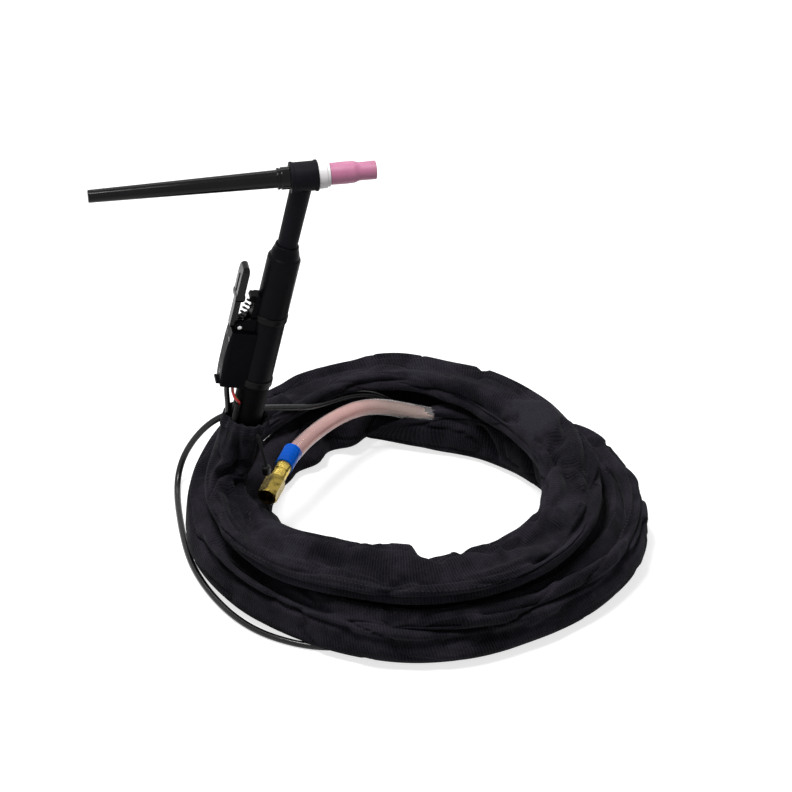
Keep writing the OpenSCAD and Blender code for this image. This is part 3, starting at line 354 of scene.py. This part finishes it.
def shape_jacket(stations, sides):
    """Rings of the filled sleeve, and how far each of its points lies from the nearest seam, in mm."""
    centre, cross, over = (np.array([s[k] for s in stations])[:, None, :] for k in range(3))
    wide, high, square, lap = (np.array([float(s[k]) for s in stations])[:, None] for k in range(3, 7))
    far = run_of(centre[:, 0])[:, None]
    turn = np.arange(sides)[None, :] * 2 * math.pi / sides
    c, s = np.cos(turn), np.sin(turn)
    girth = 3.28 * (wide + high)
    to_mouth = far[-1] - far

    def ripple(along, around, seed):
        """Smooth noise: waves per metre along the sleeve and waves round it."""
        return np.array([[noise.noise(Vector((f * along * MM, math.cos(v) * around,
                                              math.sin(v) * around + seed)))
                          for v in turn[0]] for f in far[:, 0]])

    inward = np.maximum(0, -c) ** 1.5
    # by the hose's way out the lowest lap spreads a scalloped skirt on the floor
    skirt = ease(797, 808, lap) * (1 - ease(846, 860, lap))
    calm = 1 - 0.85 * np.maximum(0, -s)
    slow, drag, pleat = ripple(11, 0.9, 0), ripple(24, 1.3, 7), ripple(44, 0.7, 13)
    crease = -np.maximum(0, 0.10 - np.abs(ripple(17, 1.6, 21))) * 30
    swell = 1.6 * slow + 1.5 * drag + 1.1 * crease + pleat * (0.35 + 2.6 * inward)
    swell = swell * (0.3 + 0.7 * square)

    def from_line(a0, v0, a1, v1):
        start, end = np.interp((a0, a1), lap[:, 0], far[:, 0])
        run = end - start
        rise = ((v1 - v0 + 180) % 360 - 180) / 360 * girth
        du, dv = far - start, ((np.degrees(turn) - v0 + 180) % 360 - 180) / 360 * girth
        along = np.clip((du * run + dv * rise) / (run * run + rise * rise), 0, 1)
        return du - along * run, dv - along * rise

    for a0, v0, a1, v1, width, depth in FOLDS:
        du, dv = from_line(a0, v0, a1, v1)
        swell += depth * np.exp(-(du * du + dv * dv) / (width * width))
    seam = np.full(swell.shape, NO_SEAM)
    for line in SEAMS:
        for (a0, v0), (a1, v1) in zip(line, line[1:]):
            du, dv = from_line(a0, v0, a1, v1)
            away = np.hypot(du, dv)
            seam = np.where(away < np.abs(seam), np.where(dv < 0, -away, away), seam)
    swell += 0.7 * np.exp(-((seam - 3.5) / 2.5) ** 2) - 1.3 * np.exp(-(seam / 1.3) ** 2)
    # the hem of the flap overhangs the lap below it
    hem = ease(198, 212, lap) * (1 - ease(292, 306, lap))
    place = (np.degrees(turn) + 180) % 360 - 180
    swell += hem * (2 * np.exp(-((place - 16) / 11) ** 2) - 9 * np.exp(-((place + 22) / 18) ** 2))
    # the cuff is gathered on its drawcord, which runs in a channel under the rim
    gather = np.exp(-((far - 9) / 13) ** 2)
    swell += gather * (0.9 * np.cos(15 * turn + 0.06 * far) + 0.6 * np.cos(8 * turn - 0.04 * far + 1))
    swell += 1.2 * np.exp(-((far - 7) / 2.6) ** 2) - 1.0 * np.exp(-((far - 12.5) / 2) ** 2)
    # the mouth hangs slack: its lower lip runs on and its upper lip is drawn back
    slack = ease(34, 0, to_mouth)
    swell += slack * 1.2 * np.cos(4 * turn + 1)
    # a lap that lies against another is pressed to it, and the top one bulges freely towards the middle
    floor_lap = ease(520, 545, lap)
    pressed = np.where(lap < 800, np.maximum(0, -c), np.maximum(0, c)) ** 3 * floor_lap * (
        1 - ease(1090, 1150, lap))
    free = np.maximum(0, -c) * (1 - ease(300, 330, lap)) * ease(170, 200, lap)
    swell = np.clip(swell, -11, 3 + 6 * free) * calm - 0.7
    swell = swell * (1 - pressed) + 1.1 * pressed
    # the top lap sags on to the laps below it, except where the hose comes out under it
    resting = np.maximum(0, -s) ** 1.5 * ease(196, 215, lap) * (1 - ease(405, 425, lap))
    swell = swell * (1 - resting) + 2.2 * resting
    power = 2 / (2 + 0.55 * square)
    x, y = np.sign(c) * np.abs(c) ** power, np.sign(s) * np.abs(s) ** power
    nx, ny = c / wide, s / high
    size = np.hypot(nx, ny)
    x, y = wide * x + swell * nx / size, high * y + swell * ny / size
    y = y * (1 - 0.28 * slack)
    x = x - 10 * skirt * np.maximum(0, -c) * ease(0.4, -0.4, s) * (0.62 + 0.38 * np.cos((lap - 823) * 0.37))
    points = centre + cross * x[..., None] + over * y[..., None]
    way = np.cross(over, cross)
    lower = np.cos(turn - math.radians(215))
    lip = slack * (32 * np.maximum(0, lower) ** 1.5 + 8 * np.minimum(0, lower))
    points = points + way * lip[..., None]
    points[..., 2] = np.maximum(points[..., 2], 0.3)
    return points, seam


stations = lay_jacket(RING_STEP)
outside, seam_away = shape_jacket(stations, RING_POINTS)


def line_end(rings, order, thick):
    """Rings of the inside of the sleeve's end, from its lip inwards."""
    inside = []
    for deep, at in enumerate(order):
        ring = rings[at]
        middle = ring.mean(0)
        away = ring - middle
        reach = np.linalg.norm(away, axis=1)[:, None]
        inside.append(middle + away * (1 - thick[deep] / reach))
    return np.array(inside)


cuff_inside = line_end(outside, (0, 0, 1, 3, 6), (0.5, 1.5, 2, 2.6, 4.2))
mouth_inside = line_end(outside, (-1, -1, -2, -4, -7, -11, -14), (0.4, 1.4, 2, 2.4, 2.8, 3.6, 5))
rings = np.concatenate((cuff_inside[::-1], outside, mouth_inside))
jacket = skin("jacket", rings)
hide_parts("jacket_cuff", "jacket_riser", "jacket_coil")
away = np.concatenate((np.full((len(cuff_inside), RING_POINTS), NO_SEAM), seam_away,
                       np.full((len(mouth_inside), RING_POINTS), NO_SEAM)))
layer = jacket.data.attributes.new("seam", "FLOAT", "POINT")
layer.data.foreach_set("value", np.concatenate((away.reshape(-1), (NO_SEAM, NO_SEAM))) * MM)
jacket_path = [tuple(s[0] * MM) for s in stations]


def start_material(name):
    material = bpy.data.materials.new(name)
    material.use_nodes = True
    return material, start_tree(material)


def end_material(start, colour, roughness, height=None, depth=0.0002, **sockets):
    """A Principled surface with a bump. The other sockets are named with _ for a space."""
    values = {"Base Color": colour, "Roughness": roughness}
    values.update((name.replace("_", " "), value) for name, value in sockets.items())
    if height is not None:
        values["Normal"] = start.node("Bump", {"Height": height, "Distance": depth}, out="Normal")
    start.node("OutputMaterial", {"Surface": start.node("BsdfPrincipled", values, out="BSDF")}, out=None)


def grain(start, scale, detail=2, roughness=0.5, stretch=(1, 1, 1)):
    """Noise on the piece's own place, from 0 to 1, with cells of about 1 / scale metres."""
    place = start.node("TexCoord", out="Object")
    if stretch != (1, 1, 1):
        place = start.node("Mapping", {"Vector": place, "Scale": stretch})
    return start.node("TexNoise", {"Vector": place, "Scale": scale, "Detail": detail,
                                   "Roughness": roughness})


def run_and_girth(start):
    """How far along a sleeve or cord, and how far round it, in metres."""
    uv = start.node("UVMap", uv_map="along")
    return start.node("SeparateXYZ", {0: uv}, out="X"), start.node("SeparateXYZ", {0: uv}, out="Y")


def wave(distance, pitch):
    return (distance * (2 * math.pi / pitch)).maths("SINE")


RIB_PITCH, YARN_PITCH, STITCH_PITCH, STITCH_AWAY = 0.0021, 0.0008, 0.0034, 0.0034
cloth, start = start_material("jacket_twill")
along, round_it = run_and_girth(start)
rib = wave(along + round_it * 0.16, RIB_PITCH) * 0.5 + 0.5
yarn = wave(round_it - along * 0.5, YARN_PITCH) * 0.5 + 0.5
fuzz = grain(start, 1400, 3, 0.7)
patches = grain(start, 22, 4, 0.65).between(0.36, 0.66)
seam = start.node("Attribute", attribute_name="seam", out="Fac")
stitch_row = 1 - (seam - STITCH_AWAY).maths("ABSOLUTE").between(0.0003, 0.0006)
dash = ((along * (1 / STITCH_PITCH)).maths("FRACT") - 0.5).maths("ABSOLUTE").between(0.34, 0.28)
thread = stitch_row * (1 - dash)
tone = rib * 0.22 + yarn * 0.14 + fuzz * 1.2 + patches * 0.34 - 0.56
twill = tone.tint((0.0008, 0.0007, 0.0012, 1), (0.044, 0.040, 0.053, 1))
lint = grain(start, 260, 4, 0.8).between(0.70, 0.80)
twill = (lint * 0.25).tint(twill, (0.045, 0.043, 0.046, 1))
colour = (thread * 0.7).tint(twill, (0.038, 0.035, 0.041, 1))
end_material(start, colour, fuzz * 0.12 + 0.78, rib * 0.4 + yarn * 0.2 + fuzz * 0.8 + thread * 1.6, 0.00032,
             Sheen_Weight=0.04, Sheen_Roughness=0.4, Specular_IOR_Level=0.03)
jacket.data.materials.append(cloth)


# Hose: a clear hose with a pale pink core that comes out of the jacket's mouth. Its end is crimped in a blue
# sleeve and a brass ferrule, and a hexagon nut turns on its brass nipple.
HOSE_R, CORE_R = 6.25, 3.7


def smooth_line(points, step=2.5, passes=30):
    """A line through points in mm, evenly spaced and eased, whose ends keep their places and directions."""
    points = np.asarray(points, float)
    padded = np.vstack((2 * points[0] - points[1], points, 2 * points[-1] - points[-2]))
    line = []
    for i in range(1, len(padded) - 2):
        p0, p1, p2, p3 = padded[i - 1:i + 3]
        for t in np.arange(12) / 12:
            line.append(0.5 * (2 * p1 + (p2 - p0) * t + (2 * p0 - 5 * p1 + 4 * p2 - p3) * t * t
                               + (3 * p1 - p0 - 3 * p2 + p3) * t ** 3))
    line = np.array(line + [points[-1]])
    far = run_of(line)
    even = np.linspace(0, far[-1], max(8, int(far[-1] / step)))
    line = np.stack([np.interp(even, far, line[:, k]) for k in range(3)], 1)
    for _ in range(passes):
        line[2:-2] += 0.5 * ((line[1:-3] + line[3:-1]) / 2 - line[2:-2])
    return line


def round_tube(name, line, radius, sides, slot):
    ways = np.gradient(line, axis=0)
    ways /= np.linalg.norm(ways, axis=1)[:, None]
    side = np.cross(ways[0], (0.31, 0.2, 0.93))
    rings = []
    for centre, way in zip(line, ways):
        side = side - way * (side @ way)
        side /= np.linalg.norm(side)
        other = np.cross(way, side)
        turns = np.arange(sides) * 2 * math.pi / sides
        rings.append(centre + radius * (np.cos(turns)[:, None] * side + np.sin(turns)[:, None] * other))
    return skin(name, rings)


radius, height, wide, high = (float(x) for x in place_lap(np.array(float(COIL_TO))))
mouth_out, mouth_way = coil_ways(COIL_TO)
mouth = COIL + mouth_out * radius + mouth_way * MOUTH_RUN + np.array((0, 0, TURN_H / 2))
END_TURN, END_DIP = math.radians(241), math.radians(5)
end_way = np.array((math.cos(END_TURN) * math.cos(END_DIP), math.sin(END_TURN) * math.cos(END_DIP),
                    -math.sin(END_DIP)))
end_from = COIL + (-84, 56, TURN_H + 13.5)
hose_start = mouth + (0, 0, 12)
hose_line = smooth_line(np.vstack((
    hose_start - mouth_way * 22 - (0, 0, 1), hose_start - mouth_way * 10, hose_start + mouth_way * 6.25,
    COIL + (-3, 127.5, TURN_H - 1.5), COIL + (-16, 122, TURN_H + 3), COIL + (-29, 113.5, TURN_H + 5.5),
    COIL + (-42.5, 102, TURN_H + 8), COIL + (-56, 88, TURN_H + 10.5), COIL + (-70, 72.5, TURN_H + 12.7),
    end_from, end_from + end_way * 10, end_from + end_way * 19.5)), passes=140)
hose = round_tube("hose_run", hose_line, HOSE_R, 40, "clear_hose")
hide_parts("hose_tail")
core = round_tube("hose_core", hose_line, CORE_R, 28, "clear_hose")
clear, start = start_material("clear_hose_wall")
cloudy = grain(start, 45, 3, 0.6)
end_material(start, cloudy.tint((0.66, 0.62, 0.62, 1), (0.78, 0.74, 0.73, 1)), cloudy * 0.08 + 0.07,
             grain(start, 110, 2), 0.0002, Transmission_Weight=0.8, IOR=1.42)
hose.data.materials.append(clear)
pink, start = start_material("hose_core_pink")
streaks = grain(start, 90, 3, 0.6, (1, 1, 3))
deep = start.node("SeparateXYZ", {0: start.node("UVMap", uv_map="along")}, out="X")
# painted shade: the core is darkened to a dull olive where it lies in and just out of the jacket's mouth
mouth_shade = 1 - deep.between(0.03, 0.075)
shade = streaks.tint((0.74, 0.36, 0.33, 1), (0.90, 0.50, 0.45, 1))
shade = (mouth_shade * 0.6).tint(shade, (0.20, 0.18, 0.11, 1))
end_material(start, shade, streaks * 0.2 + 0.4, streaks, 0.0002)
core.data.materials.append(pink)


def dress(material, *nodes):
    for node in nodes:
        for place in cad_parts[node].material_slots:
            place.material = material


def along_hose_end(start):
    """How far a place lies along the hose's straight end, in metres."""
    from_end = start.node("VectorMath", {0: start.node("TexCoord", out="Object"), 1: tuple(end_from * MM)},
                          operation="SUBTRACT")
    return start.node("VectorMath", {0: from_end, 1: tuple(end_way)}, out="Value", operation="DOT_PRODUCT")


blue, start = start_material("blue_shrink_sleeve")
far_end = along_hose_end(start)
scuffs = grain(start, 300, 4, 0.7).between(0.60, 0.74)
shade = grain(start, 50, 2).tint((0.0004, 0.122, 0.76, 1), (0.0008, 0.175, 0.96, 1))
shade = (scuffs * 0.1).tint(shade, (0.03, 0.2, 0.6, 1))
end_material(start, shade, scuffs * 0.25 + 0.28, wave(far_end, 0.0042) * 0.4 + grain(start, 500), 0.00012,
             Specular_IOR_Level=0.06)
dress(blue, "blue_sleeve")


def turned_brass(name, pitch, clean, tarnish):
    """Brass turned on a lathe: fine rings along the hose's end, with dull patches."""
    material, start = start_material(name)
    far_end = along_hose_end(start)
    marks = wave(far_end, pitch) * 0.5 + grain(start, 900, 3, 0.6)
    patches = grain(start, 150, 4, 0.65).between(0.45, 0.72)
    colour = patches.tint(clean, tarnish)
    end_material(start, colour, patches * 0.22 + 0.17 + grain(start, 700) * 0.08, marks, 0.00005, Metallic=1)
    return material


dress(turned_brass("ferrule_brass", 0.0006, (0.62, 0.46, 0.10, 1), (0.14, 0.09, 0.016, 1)), "ferrule")
dress(turned_brass("nipple_brass", 0.0005, (0.54, 0.41, 0.10, 1), (0.15, 0.10, 0.02, 1)), "hose_nipple")
dress(turned_brass("nut_brass", 0.0008, (0.34, 0.25, 0.055, 1), (0.06, 0.043, 0.009, 1)), "swivel_nut")


tuple(hose_line[0] * MM)
[tuple(p) for p in hose_line * MM]

# Control cable: a thin black cable that comes out of the mouth beside the hose, crosses over the back of the
# coil and runs round its left side on the floor to its plug, which lies between two laps.
CONTROL_R = 2.5
control_start = mouth + mouth_out * 8.6 + (0, 0, 6)
CONTROL_ROUTE = (
    (2, 136, 37), (-13, 136, 44.4), (-28, 134, 44.8), (-41, 127, 46.5), (-53, 117, 50), (-64, 108, 55),
    (-77, 103.5, 60), (-90, 99, 65), (-106, 97, 67), (-122, 100, 65), (-136, 104, 57), (-146, 107, 46),
    (-155, 110, 31.5), (-162, 111, 18), (-166.5, 104.5, 7.8), (-168.6, 91, 3), (-170.2, 74, 2.5),
    (-171.5, 36, 2.5), (-170.5, 4, 2.5), (-166, -22, 2.5), (-158, -48, 2.5), (-146.5, -72.5, 2.5),
    (-132, -92, 2.5), (-117, -104, 2.5), (-102, -113, 2.5), (-88, -118, 2.5), (-72, -120, 2.8),
    (-56, -119, 3.6), (-42, -118.6, 4.6), (-34, -119.2, 4.6))
control_line = smooth_line(np.vstack((
    control_start - mouth_way * 14, control_start, control_start + mouth_way * 8, COIL + CONTROL_ROUTE)),
    passes=45)
control_line[:, 2] = np.maximum(control_line[:, 2], CONTROL_R + 0.02)
control = round_tube("control_lead", control_line, CONTROL_R, 20, "cable_black")
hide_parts("control_cable")
tuple(control_line[0] * MM)
[tuple(p) for p in control_line * MM]


def moulded(name, dark, light, dull, sheen, cell, depth, shine=0.12):
    """Black plastic or rubber: fine moulding grain, faint handling marks and a little dust."""
    material, start = start_material(name)
    marks = grain(start, 35, 4, 0.65).between(0.35, 0.75)
    dust = grain(start, 420, 5, 0.8).between(0.66, 0.80)
    colour = (dust * 0.12).tint(marks.tint(dark, light), (0.06, 0.058, 0.055, 1))
    end_material(start, colour, marks * sheen + dull, grain(start, 1 / cell, 3, 0.6), depth,
                 Specular_IOR_Level=shine)
    return material


cable = moulded("cable_sheath", (0.003, 0.003, 0.004, 1), (0.008, 0.008, 0.009, 1), 0.2, 0.14, 0.0008,
                0.00003, 0.3)
control.data.materials.append(cable)
JET, CHARCOAL = (0.003, 0.003, 0.0035, 1), (0.008, 0.008, 0.009, 1)
plug_plastic = moulded("plug_plastic", JET, CHARCOAL, 0.35, 0.12, 0.0005, 0.00005)
dress(plug_plastic, "control_plug")


# Switch leads: a black cable runs from the switch's gland down into the jacket, and a red and a green lead
# leave the case beside it and go into a shrink sleeve.
SWITCH_LEAD_R, WIRE_OUT_R = 2, 1.0


def up_handle(points):
    """Points in the handle's frame, in mm, brought to where the handle stands."""
    points = np.asarray(points, float)
    side = np.array((math.cos(LEAN), 0, -math.sin(LEAN)))
    return FOOT + points[:, :1] * side + points[:, 1:2] * (0, 1, 0) + points[:, 2:] * UP_HANDLE


switch_line = smooth_line(up_handle((
    (-20, 0, 36), (-20, 0, 26), (-17, 0, 15), (-14.3, 0, 4), (-14.1, 0, -6), (-14.1, 0, -14))), 1.5, 16)
switch_lead = round_tube("switch_lead", switch_line, SWITCH_LEAD_R, 20, "cable_black")
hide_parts("switch_cable")
tuple(switch_line[0] * MM)
[tuple(p) for p in switch_line * MM]
switch_lead.data.materials.append(cable)

red_line = smooth_line(up_handle((
    (-16.6, -5.9, 33.5), (-16.6, -5.9, 28.5), (-14.8, -9.4, 23.5), (-11.4, -10.9, 20.8),
    (-10.1, -9.7, 19.2), (-10.1, -9.7, 17))), 0.8, 3)
green_line = smooth_line(up_handle((
    (-16.6, -3.2, 33.5), (-16.6, -3.2, 29), (-15.6, -6.2, 24.5), (-12.4, -8.4, 21.5),
    (-11.3, -8.4, 19.4), (-11.3, -8.4, 17))), 0.8, 3)
for name, line, tints in (("red", red_line, ((0.42, 0.008, 0.012, 1), (0.62, 0.02, 0.02, 1))),
                          ("green", green_line, ((0.008, 0.13, 0.035, 1), (0.02, 0.24, 0.07, 1)))):
    wire = round_tube(name + "_wire", line, WIRE_OUT_R, 14, "lead_" + name)
    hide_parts(name + "_lead")
    material, start = start_material(name + "_insulation")
    streaks = grain(start, 300, 3, 0.6)
    end_material(start, streaks.tint(*tints), streaks * 0.15 + 0.26, grain(start, 900), 0.00003)
    wire.data.materials.append(material)
shrink = moulded("shrink_sleeve", JET, CHARCOAL, 0.45, 0.15, 0.0009, 0.00008)
dress(shrink, "lead_sleeve", "switch_gland")

# Drawcord: a braided black cord that gathers the cuff. It runs in a channel under the rim, comes out at the
# front and hangs down, with a sprung lock on its end.
TIE_R, BRAID_PITCH = 1.2, 0.0019
tie_line = smooth_line(FOOT + np.array((
    (6, -16.7, -5), (6.8, -19.3, -6), (8, -20.8, -13), (10, -21.2, -22), (11.5, -21.2, -30),
    (11.5, -21.2, -38))), 1.2, 14)
tie = round_tube("drawcord", tie_line, TIE_R, 16, "cord_black")
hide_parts("tie_cord")
tuple(tie_line[0] * MM)
[tuple(p) for p in tie_line * MM]
braid, start = start_material("drawcord_braid")
along, round_it = run_and_girth(start)
plait = wave(along + round_it, BRAID_PITCH) * wave(along - round_it, BRAID_PITCH)
end_material(start, (plait * 0.5 + 0.5).tint((0.002, 0.002, 0.0025, 1), (0.014, 0.0135, 0.016, 1)), 0.7,
             plait + grain(start, 2500), 0.00025, Sheen_Weight=0.05, Specular_IOR_Level=0.1)
tie.data.materials.append(braid)
lock_plastic = moulded("lock_plastic", JET, CHARCOAL, 0.28, 0.15, 0.0006, 0.00003, 0.2)
dress(lock_plastic, "cord_lock")

# Head: a brass core in moulded silicone rubber, with a long black cap of glossy moulding at the back and, at
# the front, a white insulating gasket and a pink alumina nozzle.
silicone, start = start_material("head_silicone")
marks = grain(start, 45, 4, 0.6).between(0.35, 0.75)
across = start.node("SeparateXYZ", {0: start.node("TexCoord", out="Object")}, out="Y")
part_line = 1 - across.maths("ABSOLUTE").between(0.0001, 0.0003)
end_material(start, marks.tint((0.0035, 0.0032, 0.005, 1), (0.010, 0.0095, 0.0135, 1)), marks * 0.14 + 0.46,
             grain(start, 2200, 3, 0.7) + part_line * 1.5, 0.00009, Specular_IOR_Level=0.05)
dress(silicone, "head_cover")

phenolic, start = start_material("cap_phenolic")
wipe = grain(start, 160, 4, 0.7, (0.06, 1, 1)).between(0.45, 0.75)
smear = grain(start, 22, 3, 0.6).between(0.4, 0.8)
end_material(start, smear.tint((0.001, 0.0011, 0.0018, 1), (0.0035, 0.0038, 0.005, 1)),
             wipe * 0.07 + smear * 0.05 + 0.09, grain(start, 240, 2, 0.5, (0.08, 1, 1)), 0.00003,
             Specular_IOR_Level=0.16)
dress(phenolic, "back_cap")

insulator, start = start_material("white_insulator")
along_x = start.node("SeparateXYZ", {0: start.node("TexCoord", out="Object")}, out="X")
turning = wave(along_x, 0.0005) * 0.4 + grain(start, 1200)
grime = grain(start, 260, 5, 0.7).between(0.55, 0.8)
end_material(start, (grime * 0.5).tint((0.80, 0.78, 0.79, 1), (0.55, 0.51, 0.46, 1)), grime * 0.2 + 0.38,
             turning, 0.00005, Subsurface_Weight=0.08, Subsurface_Radius=(0.002, 0.002, 0.002),
             Subsurface_Scale=0.5)
dress(insulator, "gasket")

alumina, start = start_material("pink_alumina")
along_x = start.node("SeparateXYZ", {0: start.node("TexCoord", out="Object")}, out="X")
cloud = grain(start, 70, 3, 0.6)
speck = grain(start, 1500, 2, 0.7).between(0.68, 0.78)
colour = cloud.tint((0.44, 0.135, 0.25, 1), (0.56, 0.205, 0.345, 1))
colour = (speck * 0.25).tint(colour, (0.78, 0.45, 0.56, 1))
HOT_FROM, HOT_TO = 0.0925, 0.0985
tip = along_x.between(HOT_FROM, HOT_TO)
colour = (tip * 0.28).tint(colour, (0.36, 0.16, 0.17, 1))
end_material(start, colour, cloud * 0.15 + 0.3, grain(start, 1300, 4, 0.7), 0.00006)
dress(alumina, "nozzle")


def warm_metal(name, clean, dull, smooth):
    material, start = start_material(name)
    stain = grain(start, 180, 4, 0.65).between(0.4, 0.75)
    brushed = grain(start, 1500, 2, 0.6, (1, 0.15, 1))
    end_material(start, stain.tint(clean, dull), stain * 0.25 + smooth, brushed, 0.00004, Metallic=1)
    return material


bright_copper = warm_metal("bright_copper", (0.86, 0.47, 0.30, 1), (0.42, 0.20, 0.12, 1), 0.2)
dress(bright_copper, "collet", "collet_body", "neck_tube")
core_brass = warm_metal("core_brass", (0.80, 0.62, 0.30, 1), (0.42, 0.31, 0.13, 1), 0.25)
dress(core_brass, "head_core", "hose_union")
seal = moulded("seal_rubber", (0.003, 0.003, 0.003, 1), (0.009, 0.009, 0.009, 1), 0.5, 0.15, 0.0006, 0.00003)
dress(seal, "cap_o_ring")

# Handle: two sleeves of moulded plastic held by narrow straps, over a rubber boot that keeps the hose from
# kinking where it goes down into the jacket.
sleeve_plastic = moulded("handle_plastic", (0.002, 0.002, 0.0034, 1), (0.0052, 0.0052, 0.0075, 1), 0.34,
                         0.14, 0.0004, 0.00008, 0.045)
dress(sleeve_plastic, "handle_front", "handle_rear")
strap_nylon = moulded("strap_nylon", (0.002, 0.002, 0.0025, 1), (0.005, 0.005, 0.006, 1), 0.28, 0.12,
                      0.0008, 0.00004, 0.08)
dress(strap_nylon, "straps")
boot_rubber = moulded("boot_rubber", (0.0015, 0.0015, 0.002, 1), (0.004, 0.004, 0.005, 1), 0.48, 0.16,
                      0.0005, 0.00006, 0.03)
dress(boot_rubber, "hose_boot", "power_hose")
bright_steel = warm_metal("bright_steel", (0.60, 0.60, 0.62, 1), (0.33, 0.32, 0.31, 1), 0.22)
dress(bright_steel, "crimp_ring", "lever_pin")

# Switch: a case of moulded plastic held to the handle by blued steel screws, with a lever on a pin, held out
# by a coil spring. The lever presses a red plunger of the small switch inside.
case_plastic = moulded("case_plastic", (0.0016, 0.0016, 0.0026, 1), (0.0042, 0.0042, 0.006, 1), 0.38, 0.14,
                       0.00045, 0.00007, 0.035)
dress(case_plastic, "switch_case", "switch_base", "microswitch")
lever_plastic = moulded("lever_plastic", (0.0018, 0.0018, 0.0025, 1), (0.005, 0.005, 0.0065, 1), 0.12, 0.12,
                        0.0012, 0.00003, 0.16)
dress(lever_plastic, "lever")
blued_steel = warm_metal("blued_steel", (0.05, 0.05, 0.058, 1), (0.02, 0.019, 0.02, 1), 0.26)
dress(blued_steel, "case_screws")
red_plastic, start = start_material("plunger_red")
rub = grain(start, 500, 3, 0.6)
end_material(start, rub.tint((0.36, 0.018, 0.014, 1), (0.55, 0.045, 0.03, 1)), rub * 0.15 + 0.25, rub,
             0.00003)
dress(red_plastic, "plunger")

# Return spring: five turns of blued wire wound between the lever's seat and the lug on the handle. On the
# torch its foot goes with the lever and its head stays on the lug, so it bends between them; here it is
# built as one fixed coil at rest.
spring_foot, spring_head = (Vector(p * MM) for p in up_handle(((-21.2, 0, 86.5), (-16.4, 0, 104.6))))
spring_way = spring_head - spring_foot
WIRE_R, SPRING_R, CURLS = 0.55 * MM, 2.55 * MM, 5
bpy.ops.object.select_all(action="DESELECT")
bpy.ops.mesh.primitive_circle_add(vertices=12, radius=WIRE_R, location=(SPRING_R, 0, WIRE_R),
                                  rotation=(math.pi / 2, 0, 0))
spring = bpy.context.object
spring.name = "spring"
bpy.ops.object.transform_apply()
bpy.ops.object.modifier_add(type="SCREW")
screw = spring.modifiers[0]
screw.angle, screw.iterations, screw.steps, screw.render_steps = 2 * math.pi, CURLS, 24, 24
screw.screw_offset = (spring_way.length - 2 * WIRE_R) / CURLS
bpy.ops.object.modifier_apply(modifier=screw.name)
bpy.ops.object.mode_set(mode="EDIT")
bpy.ops.mesh.select_all(action="SELECT")
bpy.ops.mesh.fill_holes(sides=0)
bpy.ops.mesh.normals_make_consistent(inside=False)
bpy.ops.object.mode_set(mode="OBJECT")
bpy.ops.object.shade_smooth()
stand = spring_way.to_track_quat("Z", "Y").to_matrix().to_4x4()
spring.matrix_world = Matrix.Translation(spring_foot) @ stand
bpy.ops.object.transform_apply()
spring.data.materials.append(blued_steel)
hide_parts("return_spring")
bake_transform(spring)
